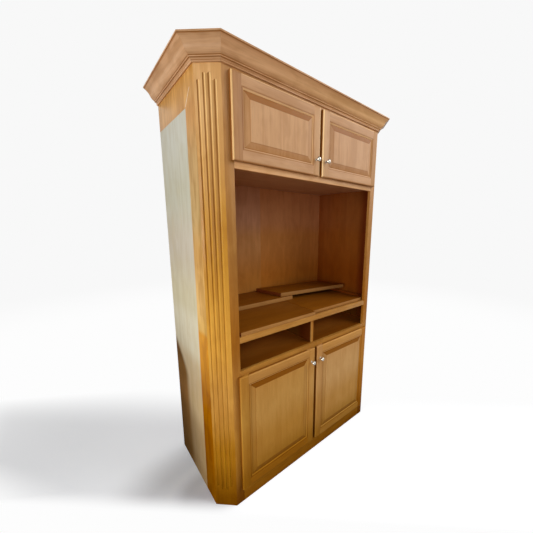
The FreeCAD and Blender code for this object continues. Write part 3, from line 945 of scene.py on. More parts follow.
def make_palette() -> Palette:
    """Make every material of the armoire, once.

    Returns:
        The materials under their short names.
    """
    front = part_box("left_side_panel")[0].y
    finishes = {
        # height stops: amber tone and painted shade, darkest at the floor
        "frame": MapleFinish("lacquered_maple_frame", pale="#CFA070", dark="#B58452",
                             amber_and_painted_shade_by_height=((0.0, "#9E7E32"), (0.3, "#F8E88B"), (0.6, "#FFF3B2"),
                                   (0.9, "#D3B052"), (1.4, "#DBCB98"), (1.8, "#E8DBB8"),
                                   (2.0, "#FAF8F0"))),
        # height stops: amber tone with painted light and shade
        "pilaster": MapleFinish("lacquered_maple_pilaster", pale="#DFB27B", dark="#C7965C",
                                dark_soak_and_shade="#8A5A12", painted_highlight="#F7D592", coat=0.08, roughness=0.32,
                                gloss=0.08,
                                amber_and_painted_shade_by_height=((0.0, "#917311"), (0.3, "#CDB343"), (0.6, "#F1E2A2"),
                                      (0.9, "#FEEF97"), (1.4, "#DDC65E"), (2.0, "#FFFFFF"))),
        # a paler copy of the maple, as painted light on the crown's down-facing coves
        "crown": MapleFinish("lacquered_maple_crown", pale="#DEB288", dark="#BE9064",
                             contrast=0.8),
        "upper_door": MapleFinish("lacquered_maple_upper_doors", dark_soak_and_shade="#955C1A",
                                  painted_highlight="#FFD9A0", contrast=0.5),
        # a darker, more amber copy of the door finish: partly the wood's own tone, partly painted
        # shade of the lower doors, graded darker towards the floor
        "lower_door": MapleFinish("lacquered_maple_lower_doors", pale="#CFA06A", dark="#BA8850",
                                  dark_soak_and_shade="#8A5410", contrast=0.35,
                                  amber_and_painted_shade_by_height=((0.0, "#BCA54E"), (0.12, "#CDBD68"), (0.3, "#EEE4A9"),
                                        (0.5, "#FFFFE0"), (0.72, "#F6EBC2"))),
        "side": SidePlyFinish("half_lacquered_maple_ply", front=front, strip=0.105,
                              strip_low=0.116, band=1.9345),
        # inner sides, back, divider and partition: painted shade by height and from front to back
        "inside_upright": PlyFinish("lacquered_maple_veneer_upright", fibres=Fibres.ALONG_Z,
                                    leaf=0.61),
        # bay floors: a deeper orange copy of the veneer, darker towards the front, as painted shade
        "inside_level": PlyFinish("lacquered_maple_veneer_level", pale="#CF7F2D", dark="#B86E26",
                                  amber_and_painted_shade_by_height=(), painted_shading=((-0.22, "#9A8D64"), (-0.06, "#FFFFFF"))),
        # ceilings: a paler copy of the veneer without the darkening from front to back, as painted
        # light
        "inside_ceiling": PlyFinish("lacquered_maple_veneer_ceiling", pale="#D0AA90",
                                    dark="#BA9178", painted_shading=()),
        # much darker than the other veneer, as painted shade on the boards lying in the bay
        "board": PlyFinish("lacquered_veneer_loose_boards", pale="#885010", dark="#78430A",
                           amber_and_painted_shade_by_height=(), painted_shading=(), fibres=Fibres.BOARD),
        "lipping": MapleFinish("lacquered_maple_lipping", pale="#B48752", dark="#A07443"),
        "ply_edge": PlyEdgeFinish("sawn_birch_ply_edge"),
        # the loose boards' ply edges, darker as painted shade inside the bay
        "painted_shade_edge": PlyEdgeFinish("ply_edge_with_painted_shade", pale="#A25523", dark="#73340E"),
        # darker than polished nickel's own colour, as painted shade for the dark room the knobs
        # would mirror
        "nickel": MetalFinish("polished_nickel_plate", "#B4AFA4", "#8C877C", 0.12, 3.0),
        "zinc": MetalFinish("zinc_plated_steel_screw", "#C9C6BC", "#A09A88", 0.3, 1.0),
        "bronze": MetalFinish("dark_bronze_plated_steel", "#4A3828", "#7A5C3C", 0.4, 1.5),
    }
    return {name: finish.material() for name, finish in finishes.items()}


@dataclass
class Case:
    """Face frame, pilasters, sides and the boards behind them."""

    palette: Palette
    workshop: Workshop
    body: str = "carcass"
    ease: float = 1.0 * MM
    flute_width: float = 11.5 * MM
    flute_depth: float = 4.2 * MM
    flute_places: tuple[float, ...] = (25.1 * MM, 48.2 * MM, 70.3 * MM, 93.8 * MM)
    outer_flute: tuple[float, float] = (117 * MM, 2007 * MM)
    inner_flute: tuple[float, float] = (95 * MM, 2031 * MM)

    def build(self) -> None:
        """Make every fixed board of the case."""
        rails = ("base_rail", "bay_rail", "platform_rail", "header_rail", "top_frame_rail")
        mullions = ("upper_mullion", "lower_mullion")
        for names, run, lie in ((rails, 0, LEVEL), (mullions, 2, UPRIGHT)):
            for name in names:
                self.workshop.add(name + "_board", block(*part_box(name), self.ease, run),
                                  [self.palette["frame"]], self.body, lie, name, "maple_frame")
        for side in ("left", "right"):
            self.build_stile(side)
            self.build_pilaster(side)
            self.build_side(side)
        for finish, nodes in (("inside_upright", ("back_panel", "bay_divider", "lower_partition")),
                              ("inside_level", ("base_floor", "bay_floor", "tv_deck", "top_panel")),
                              ("inside_ceiling", ("upper_floor",)),
                              ("bronze", ("hinge_frame_leaves", "hinge_pins"))):
            for node in nodes:
                dress(node, self.palette[finish])

    def mitres(self) -> tuple[Array, Array, Array, Array]:
        """Plan corners of the left front.

        Returns:
            Outer front corner, outer side corner, inner front corner and inner side corner.
        """
        stile_low, stile_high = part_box("left_frame_stile")
        side_low, side_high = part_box("left_side_panel")
        front, board = stile_low.y, stile_high.y - stile_low.y
        spread = board * MITRE
        return (np.array((stile_low.x, front)), np.array((side_low.x, side_low.y)),
                np.array((stile_low.x + spread, front + board)),
                np.array((side_high.x, side_low.y + spread)))

    def build_stile(self, side: str) -> None:
        """Stile of the face frame, mitred to the pilaster."""
        way = 1 if side == "left" else -1
        front_corner, _, inner_corner, _ = self.mitres()
        low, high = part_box(side + "_frame_stile")
        inner = high.x if side == "left" else -low.x
        corners = np.array([front_corner, (inner, front_corner[1]), (inner, inner_corner[1]),
                            inner_corner]) * (way, 1)
        shell = eased_prism(corners, (low.z, high.z), self.ease)
        self.workshop.add(side + "_frame_stile_board", shell, [self.palette["frame"]], self.body,
                          UPRIGHT, side + "_frame_stile", "maple_frame")

    def build_side(self, side: str) -> None:
        """Side panel: bare and lacquered outside, lacquered inside, plies at the back edge.

        Where the back panel lies in its rabbet, the outline runs slantwise under that panel.
        """
        way = 1 if side == "left" else -1
        _, outer, _, inner = self.mitres()
        low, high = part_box(side + "_side_panel")
        rear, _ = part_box("back_panel")
        corners = np.array([outer, inner, (inner[0], rear.y + 0.5 * MM), (rear.x, high.y),
                            (outer[0], high.y)]) * (way, 1)
        shell = eased_prism(corners, (low.z, high.z), 0.6 * MM)
        reach = 0.8 * MM            # faces this near to a face's plane count as part of it
        aside = np.abs(shell.centres()[:, 0])
        outside, inside = aside > abs(outer[0]) - reach, aside < abs(inner[0]) + reach
        shell.paint = np.where(outside, 0, np.where(inside, 1, 2)).astype(np.int32)
        self.workshop.add(side + "_side_sheet", shell,
                          [self.palette["side"], self.palette["inside_upright"],
                           self.palette["ply_edge"]], self.body, Lie(Z_AXIS, Y_AXIS), side
                          + "_side_panel", "side_ply")

    def flute_floor(self, across: Array, height: Array) -> Array:
        """Depth of the pilaster's face.

        A flute is a round-bottomed groove with ball ends: with d the distance to its middle line
        and R its radius, it is sqrt(R^2 - d^2) - (R - depth) deep.

        Args:
            across: Distance from the pilaster's front edge.
            height: Height above the floor.

        Returns:
            Depth below the face, of the same shape as the inputs.
        """
        half = self.flute_width / 2
        radius = (half ** 2 + self.flute_depth ** 2) / (2 * self.flute_depth)
        depth = np.zeros(np.broadcast(across, height).shape)
        for number, place in enumerate(self.flute_places):
            low, high = self.inner_flute if number in (1, 2) else self.outer_flute
            along = height - np.clip(height, low + half, high - half)
            away = np.hypot(across - place, along)
            ball = np.sqrt(np.maximum(radius ** 2 - away ** 2, 0)) - (radius - self.flute_depth)
            depth = np.maximum(depth, np.where(away < half, ball, 0))
        return depth

    def flute_painted_light(self, across: Array, height: Array) -> Array:
        """Painted light in a flute: painted shade on the wall away from the front, a painted
        highlight on the other.

        It is read off a short table over u, the place between the flute's walls from -1 to 1, and
        fades towards the floor, where it turns over to paint against the flutes' own shading.

        Args:
            across: Distance from the pilaster's front edge.
            height: Height above the floor.

        Returns:
            Painted shade and highlight inside the flutes, of the same shape as the inputs.
        """
        places = np.array(self.flute_places)
        nearest = places[np.abs(across[..., None] - places).argmin(axis=-1)]
        u = (across - nearest) / (self.flute_width / 2)
        wall = np.interp(u, [-1, -0.8, -0.3, 0.2, 0.6, 1], [0, -1, -0.6, 0.3, 0.9, 0.6])
        return wall * np.interp(height, [0.25, 0.5, 0.8, 1.6], [-0.5, -0.1, 0.9, 1])

    def build_pilaster(self, side: str) -> None:
        """Fluted board across the cut-off corner.

        The face is a grid over the width and the height, sunk by flute_floor; its border is
        eased, and joined to a smaller outline on the mitred back.
        """
        way = 1 if side == "left" else -1
        front_corner, side_corner, inner_front, inner_side = self.mitres()
        low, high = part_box(side + "_pilaster")
        width = float(np.linalg.norm(side_corner - front_corner))
        half = self.flute_width / 2
        spots = [np.array([0, 0.25, 0.5, 1.0]) * MM, width - np.array([1.0, 0.5, 0.25, 0]) * MM]
        spots += [place + half * np.sin(np.linspace(-0.5, 0.5, 15) * math.pi)
                  for place in self.flute_places]
        across = np.unique(np.concatenate(spots).round(7))
        levels = [np.array([low.z, low.z + 0.5 * MM, low.z + 1.0 * MM]),
                  np.array([high.z - 1.0 * MM, high.z])]
        for start, end in (self.outer_flute, self.inner_flute):
            levels += [start + rounding(half, 9), end - rounding(half, 9)]
        height = np.unique(np.concatenate(levels).round(7))
        grid_s, grid_z = np.meshgrid(across, height)
        depth = self.flute_floor(grid_s, grid_z)
        # painted shade and highlight on the flutes' walls
        soak_and_painted_light = self.flute_painted_light(grid_s, grid_z) * (depth > 0)
        rim = np.minimum.reduce([grid_s, width - grid_s, grid_z - low.z, high.z - grid_z])
        drop = self.ease - np.sqrt(np.maximum(self.ease ** 2 - (self.ease - rim) ** 2, 0))
        depth += np.where(rim < self.ease, drop, 0) * 0.6       # flatter than a full round
        run = (side_corner - front_corner) / width
        inward = np.array([-run[1], run[0]])
        inward *= np.sign(inward @ (inner_front - front_corner))
        plan = front_corner + grid_s[..., None] * run + depth[..., None] * inward
        face = np.concatenate([plan * (way, 1), grid_z[..., None]], axis=-1)
        rows, columns = grid_s.shape
        index = np.arange(rows * columns).reshape(rows, columns)
        quads = np.stack([index[:-1, :-1], index[:-1, 1:], index[1:, 1:], index[1:, :-1]],
                         axis=-1).reshape(-1, 4)
        border = np.concatenate([index[0, :-1], index[:-1, -1], index[-1, :0:-1], index[:0:-1, 0]])
        share = (grid_s.ravel()[border] / width)[:, None]
        back_plan = (inner_front + share * (inner_side - inner_front)) * (way, 1)
        back = np.concatenate([back_plan, grid_z.ravel()[border][:, None]], axis=-1)
        count = rows * columns
        ring = np.arange(count, count + len(border))
        walls = np.stack([border, ring, np.roll(ring, -1), np.roll(border, -1)], axis=-1)
        shell = Shell(np.concatenate([face.reshape(-1, 3), back]),
                      quads.tolist() + walls.tolist() + [ring[::-1].tolist()],
                      np.concatenate([soak_and_painted_light.ravel(), np.zeros(len(border))])).face_out()
        self.workshop.add(side + "_fluted_board", shell, [self.palette["pilaster"]], self.body,
                          Lie(Z_AXIS, (run[0] * way, run[1], 0.0)), side + "_pilaster",
                          "maple_frame", sharp=40)


@dataclass
class Crown:
    """Crown moulding on five faces, mitred at the corners."""

    palette: Palette
    workshop: Workshop
    body: str = "carcass"
    joint: float = 0.15 * MM

    def profile(self) -> tuple[Array, Array]:
        """Half-round foot, small cove, bead, ogee and fillet, from the foot up.

        Returns:
            Points (n, 2) of distance out and height, and the painted shade of each.
        """
        stops = [(0, 0), (4.6, 0), (5.4, 0.4), (7.2, 3.4), (6.8, 6.2), (6.9, 7.0), (12.6, 12.6),
                 (13.6, 12.9), (16.6, 17.0), (16.6, 17.9), (36.5, 40.5), (61.0, 64.2),
                 (61.5, 64.8), (63.6, 64.8), (64.0, 65.2), (64.0, 70.4), (63.4, 71.0), (0, 71.0)]
        bulges = [0, 0.2, 0.7, 0.5, 0, -1.3, 0, 1.6, 0, 3.2, -2.2, 0, 0, 0.1, 0, 0.2, 0]
        points = chain(stops, bulges) * MM
        soak_and_painted_light = np.zeros(len(points))
        creases = ((6.8, 6.6), (13.0, 12.8), (16.6, 17.5), (61.2, 64.6))
        for deep in creases:        # painted shade darkens the profile within 1.5 mm of them
            away = np.hypot(*(points / MM - deep).T)
            soak_and_painted_light = np.maximum(soak_and_painted_light, np.clip(1.3 - away / 1.5, 0, 0.95))
        # the top of the crown takes a little painted shade too
        return points, np.maximum(soak_and_painted_light, np.interp(points[:, 1] / MM, [64.6, 65.4], [0, 0.15]))

    def run(self, name: str, corners: Sequence[Sequence[float]],
            spreads: Sequence[Sequence[float]], painted_shading: float = 0.0) -> None:
        """One straight length: the profile at both corners, spread along the mitres.

        Args:
            name: The node that it stands for.
            corners: Plan points of the body's corners at its two ends.
            spreads: How far each mitre moves, in x and y, for each metre out.
            painted_shading: How much paler the coves are painted at its far end, as painted light.
        """
        profile, soak_and_painted_light = self.profile()
        coves = np.interp(profile[:, 1] / MM, [6, 7, 63, 64], [0, 1, 1, 0])
        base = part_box("crown_front")[0].z
        first, last = (np.asarray(corner, float) for corner in corners)
        along = (last - first) / np.linalg.norm(last - first)
        rings = []
        for corner, spread, inset in ((first, spreads[0], self.joint),
                                      (last, spreads[1], -self.joint)):
            plan = corner + along * inset + profile[:, :1] * np.asarray(spread, float)
            rings.append(np.concatenate([plan, base + profile[:, 1:]], axis=1))
        lie = Lie((along[0], along[1], 0.0), Z_AXIS)
        # the far end's coves are painted paler, as painted light
        soaks_and_painted_light = np.stack([soak_and_painted_light, soak_and_painted_light - painted_shading * coves])
        self.workshop.add(name + "_moulding", loft(np.stack(rings), soaks_and_painted_light), [self.palette["crown"]],
                          self.body, lie, name, "maple_crown", sharp=24)

    def build(self) -> None:
        """Make the five lengths."""
        side_low, side_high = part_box("left_side_panel")
        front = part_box("left_frame_stile")[0]
        for side, way in (("left", 1), ("right", -1)):
            front_corner = (front.x * way, front.y)
            side_corner = (side_low.x * way, side_low.y)
            back_corner = (side_low.x * way, side_high.y)
            front_mitre, side_mitre = (-MITRE * way, -1), (-way, -MITRE)
            self.run("crown_" + side + "_angle", (side_corner, front_corner),
                     (side_mitre, front_mitre))
            self.run("crown_" + side + "_side", (back_corner, side_corner),
                     ((-way, 0), side_mitre))
        self.run("crown_front", ((front.x, front.y), (-front.x, front.y)),
                 ((-MITRE, -1), (MITRE, -1)), painted_shading=0.6)


@dataclass
class RaisedPanelDoor:
    """One door: coped stiles and rails round a raised panel, with its knob and hinges."""

    palette: Palette
    workshop: Workshop
    level: str
    side: str
    finish: Material
    edge_round: tuple[float, float] = (7.0 * MM, 7.0 * MM)      # width and depth of the outer round
    groove: float = 9.0 * MM
    margin: float = 7.5 * MM                                    # part of the panel in its groove
    bevel: float = 28.5 * MM
    painted_highlight: float = 1.0                                         # strength of the painted highlight on the outer rounds

    @property
    def prefix(self) -> str:
        """Start of the names of this door's nodes."""
        return self.level + "_" + self.side + "_"

    @property
    def body(self) -> str:
        """The body that the door's pieces ride on."""
        return self.prefix + "door"

    def build(self) -> None:
        """Make the members, the panel, the knob and the hinge screws."""
        stile_low, stile_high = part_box(self.prefix + "hinge_stile")
        self.front, self.back = stile_low.y, stile_high.y
        self.low, self.high = stile_low.z, stile_high.z
        self.member = stile_high.x - stile_low.x
        lock_low, lock_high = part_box(self.prefix + "lock_stile")
        self.left = min(stile_low.x, lock_low.x)
        self.right = max(stile_high.x, lock_high.x)
        names = ("hinge_stile", "lock_stile")
        first, last = names if self.side == "left" else names[::-1]
        self.build_stile(first, self.left, 1)
        self.build_stile(last, self.right, -1)
        self.build_rail("bottom_rail", self.low, 1)
        self.build_rail("top_rail", self.high, -1)
        self.build_panel()
        self.build_knob()
        self.build_hinges()

    def edge_drop(self, away: Array) -> Array:
        """Depth of the outer round: a quarter of an ellipse, b (1 - sqrt(1 - (1 - t/a)^2))."""
        width, depth = self.edge_round
        share = np.clip(1 - away / width, 0, 1)
        return depth * (1 - np.sqrt(1 - share ** 2))

    def sticking_line(self) -> Array:
        """Moulded inner edge: distance in from the inner edge against depth, outermost first."""
        line = chain([(11.0, 0.0), (10.6, 0.15), (10.2, 1.3), (9.8, 1.5), (2.6, 3.6), (0.0, 5.6),
                      (0.0, 6.5)], [0, 0, 0, -0.9, 0.25, 0], 6)
        return line * MM

    def section(self, rail: str = "") -> tuple[Array, Array, Array]:
        """Cross-section of a stile or rail, from the back of its outer edge round the front.

        Args:
            rail: top or bottom for a rail; the bottom one's round gets painted shade in place of
                the
            painted highlight, and the sticking is painted paler on the top one.

        Returns:
            Distance in from the outer edge, depth from the front, and soaked lacquer, painted shade
            and painted highlight, one each per point.
        """
        thick = self.back - self.front
        width, depth = self.edge_round
        round_in = rounding(width, 8)
        line = self.sticking_line()
        groove = self.member - self.groove
        inward = [np.array([1.0 * MM, 0.3 * MM, 0.0, 0.0]), round_in,
                  self.member - line[:, 0],
                  np.array([groove, groove, self.member, self.member, self.member - 0.6 * MM])]
        deep = [np.array([thick, thick - 0.3 * MM, thick - 1.0 * MM, depth + 0.2 * MM]),
                self.edge_drop(round_in), line[:, 1],
                np.array([GROOVE_FRONT, GROOVE_BACK, GROOVE_BACK, thick - 0.6 * MM, thick])]
        # painted shade on the outer edge's side face and on the bottom rail's round, a painted
        # highlight on the other rounds, painted shade in the sticking's quirk and where it meets
        # the panel, and a painted highlight on its slope
        wear_and_painted_light = -self.painted_highlight * (0.5 if rail == "top" else 1.0)
        outer = [0.8, 0.6, 0.5, 0.4, 0.0] if rail == "bottom" else [0.6, wear_and_painted_light, wear_and_painted_light, wear_and_painted_light, 0.0]
        lift = 0.4 if rail == "top" else 0.0
        soak_and_painted_light = [np.array([0.6, 0.9, 0.9, 0.9]),
                np.interp(round_in / width, [0, 0.12, 0.3, 0.7, 1], outer),
                np.interp(line[:, 1] / MM, [0, 0.2, 1.4, 2.2, 4.5, 6.5],
                          [0.1, 0.5, 0.6, -lift, -0.3 - lift, 0.3 - lift]),
                np.zeros(5)]
        return np.concatenate(inward), np.concatenate(deep), np.concatenate(soak_and_painted_light)

    def cope(self, deep: Array) -> Array:
        """How far a rail's end reaches over the stile's sticking at each depth.

        It is the sticking line read backwards, so the two mouldings meet on a 45 degree line.
        """
        line = self.sticking_line()
        return np.interp(deep, line[:, 1], line[:, 0])

    def build_stile(self, name: str, outer: float, way: int) -> None:
        """Upright member; near its ends the front drops with the outer round.

        The hinge stile is solid: it has no notches for the knuckles and no seats for the leaves.

        Args:
            name: Which stile.
            outer: Where its outer edge lies, from side to side.
            way: 1 if the door lies to the right of that edge, -1 if to the left.
        """
        inward, deep, soak_and_painted_light = self.section()
        steps = rounding(self.edge_round[0], 8)
        stations = np.concatenate([self.low + steps, self.high - steps[::-1]])
        away = np.minimum(stations - self.low, self.high - stations)
        sunk = np.maximum(deep[None, :], self.edge_drop(away)[:, None])
        rings = np.stack([np.broadcast_to(outer + way * inward, sunk.shape), self.front + sunk,
                          np.broadcast_to(stations[:, None], sunk.shape)], axis=-1)
        node = self.prefix + name
        self.workshop.add(node + "_moulded", loft(rings, soak_and_painted_light), [self.finish], self.body, UPRIGHT,
                          node, "maple_door")

    def build_rail(self, name: str, outer: float, way: int) -> None:
        """Level member between the stiles, its ends coped over their sticking.

        Args:
            name: Which rail.
            outer: Height of its outer edge.
            way: 1 if the door lies above that edge, -1 if below.
        """
        inward, deep, soak_and_painted_light = self.section(name.split("_")[0])
        reach = self.cope(deep)
        left = self.left + self.member - reach
        right = self.right - self.member + reach
        rings = [np.stack([ends, self.front + deep, outer + way * inward], axis=-1)
                 for ends in (left, right)]
        node = self.prefix + name
        self.workshop.add(node + "_moulded", loft(np.stack(rings), soak_and_painted_light), [self.finish], self.body,
                          LEVEL, node, "maple_door")

    def build_panel(self) -> None:
        """Raised panel: nested rectangles from the back's rim over the bevel to the flat field.

        Over its bevel, with t from 0 at the groove to 1 at the field, the depth falls from the
        groove's wall to the field's step by (1 - t) ^ 1.35. The bevels across the fibres, at the
        bottom and above all at the top, take up more lacquer than those along them; painted shade
        darkens the panel where it meets the sticking and along the field's step.
        """
        low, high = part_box(self.prefix + "panel")
        share = np.linspace(0, 1, 7)
        slope = self.margin + 0.3 * MM + share * (self.bevel - 0.6 * MM)
        fall = (2.2 + 4.1 * (1 - share) ** 1.35) * MM
        step = self.margin + self.bevel
        insets = np.concatenate([[0, 0, self.margin], slope,
                                 [step, step + 0.3 * MM, step + 1.5 * MM]])
        depths = np.concatenate([[GROOVE_BACK, GROOVE_FRONT, GROOVE_FRONT], fall,
                                 np.array([1.9, 1.15, 1.0]) * MM])
        # bottom, right, top and left sides: at the groove, over the bevel and at the step;
        # end-grain lacquer on the bevels, painted shade at the groove and the step
        tones = [np.concatenate([[0.4, 0.4, 0.8],
                                 np.interp(share, [0, 0.12, 0.95, 1], [groove, bevel, bevel, last]),
                                 [last, 0.3 * last, 0.0]])
                 for groove, bevel, last in ((0.8, 0.45, 0.6), (0.5, 0.1, 0.4), (1.0, 1.0, 1.0),
                                             (0.5, 0.22, 0.5))]
        left, right, bottom, top = low.x + insets, high.x - insets, low.z + insets, high.z - insets
        y = self.front + depths
        rings = np.stack([np.stack(one, axis=-1) for one in
                          ((left, y, bottom), (right, y, bottom), (right, y, top), (left, y, top))],
                         axis=1)
        shell = loft(rings)
        flipped = shell.faces[0][0] != 0
        soak_and_painted_light = []
        for inner, outer in zip(range(1, len(insets)), range(len(insets) - 1)):
            for tone in tones:
                quad = [tone[outer], tone[outer], tone[inner], tone[inner]]
                soak_and_painted_light += quad[::-1] if flipped else quad
        shell.corner_soak_and_painted_light = np.array(soak_and_painted_light + [0.3] * 4 + [0.0] * 4)
        node = self.prefix + "panel"
        self.workshop.add(node + "_raised", shell, [self.finish], self.body, UPRIGHT, node,
                          "maple_panel", sharp=5)

    def build_knob(self) -> None:
        """Mushroom knob, turned from its half profile, and the screw's head behind the door."""
        low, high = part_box(self.prefix + "knob")
        centre = ((low.x + high.x) / 2, self.front, (low.z + high.z) / 2)
        # foot, neck and cap of the knob: radius and distance forward in millimetres
        stops = [(0.01, 0.0), (6.5, 0.0), (6.5, 1.4), (5.9, 2.1), (4.5, 6.0), (4.7, 15.0),
                 (9.0, 18.6), (11.2, 19.6), (12.0, 21.0), (11.6, 22.6), (6.4, 28.6), (0.01, 30.0)]
        bulges = [0, 0, 0.1, -0.9, -0.6, -0.8, 0, 0.3, 0.15, 0.9, 0.35]
        knob = lathe(chain(stops, bulges, 6) * MM, centre, 48)
        node = self.prefix + "knob"
        self.workshop.add(node + "_turned", knob, [self.palette["nickel"]], self.body, UPRIGHT,
                          node, "polished_nickel", sharp=40)
        head = [(0.01, -19.05), (1.2, -19.05), (4.0, -19.0), (4.2, -19.4), (3.6, -20.9),
                (2.2, -21.5), (0.01, -21.6)]
        screw = lathe(np.array(head[::-1]) * MM, centre, 28)
        self.workshop.add(node + "_screw_head", screw, [self.palette["zinc"]], self.body,
                          slot="polished_nickel", sharp=40)

    def build_hinges(self) -> None:
        """Dress the leaves and set three countersunk screws in each."""
        dress(self.prefix + "hinge_leaves", self.palette["bronze"])
        low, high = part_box(self.prefix + "hinge_leaves")
        # screws stand in from the leaf's outer edge and in from its end, in millimetres
        toward, start = (1, low.x) if self.side == "left" else (-1, high.x)
        profile = np.array([(0.01, -0.55), (1.0, -0.5), (2.2, -0.3), (2.9, 0.05), (2.9, 0.4),
                            (0.01, 0.4)]) * MM
        heads = [lathe(profile, (start + toward * reach * MM, self.back, edge + up * rise * MM), 20)
                 for edge, up in ((low.z, 1), (high.z, -1))
                 for reach, rise in ((18.0, 12.0), (23.0, 30.0), (18.0, 48.0))]
        self.workshop.add(self.prefix + "hinge_screws", join(heads), [self.palette["bronze"]],
                          self.body, slot="hinge_bronze", sharp=50)


@dataclass
class LooseBoards:
    """Four veneered boards that lie stacked on the television deck."""

    palette: Palette
    workshop: Workshop
    ease: float = 0.7 * MM

    def build(self) -> None:
        """Make the boards, each from the plan corners of its node."""
        for name in ("left", "right", "middle", "askew"):
            low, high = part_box("loose_board_" + name)
            self.board(name, self.plan(name), (low.z, high.z))

    def plan(self, name: str) -> Array:
        """Plan corners of a board, the front edge's first.

        Each corner is the farthest point of the node one way: along (-1, -2), (0, -1), (1, 2)
        and (0, 1) for the turned board, and along the diagonals for the straight ones.

        Args:
            name: Which board.

        Returns:
            Array (4, 2).
        """
        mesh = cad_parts["loose_board_" + name].data
        flat = np.array([(vertex.co.x, vertex.co.y) for vertex in mesh.vertices])
        ways = ((-1, -2), (0, -1), (1, 2), (0, 1)) if name == "askew" else (
            (-1, -1), (1, -1), (1, 1), (-1, 1))
        return np.array([flat[(flat @ way).argmax()] for way in ways])

    def board(self, name: str, corners: Array, span: tuple[float, float]) -> None:
        """One board: veneered faces, a lipped front edge, and plies darkened with painted shade at
        the other edges.

        Args:
            name: Which board.
            corners: Plan corners.
            span: Heights of its lower and upper face.
        """
        shell = eased_prism(corners, span, self.ease)
        run = (corners[1] - corners[0]) / np.linalg.norm(corners[1] - corners[0])
        out = np.array([run[1], -run[0]])
        centre = shell.centres()
        flat = np.abs(centre[:, 2] - np.mean(span)) > (span[1] - span[0]) / 2 - self.ease
        front = (centre[:, :2] @ out) > corners[0] @ out - self.ease
        shell.paint = np.where(front, 1, np.where(flat, 0, 2)).astype(np.int32)
        node = "loose_board_" + name
        self.workshop.add(node + "_veneered", shell,
                          [self.palette["board"], self.palette["lipping"],
                           self.palette["painted_shade_edge"]], node + "_body",
                          Lie((run[0], run[1], 0.0), (-run[1], run[0], 0.0)), node, "board_ply")


# Stage ----------------------------------------------------------------------------------------

def stand(thing: bpy.types.Object, side: Sequence[float], up: Sequence[float],
          backward: Sequence[float], place: Sequence[float]) -> None:
    """Stand a camera or lamp at a place, its own x, y and z axes along three directions."""
    turn = np.eye(4)
    turn[:3] = np.stack([side, up, backward, place], axis=1)
    thing.matrix_world = Matrix(turn.tolist())


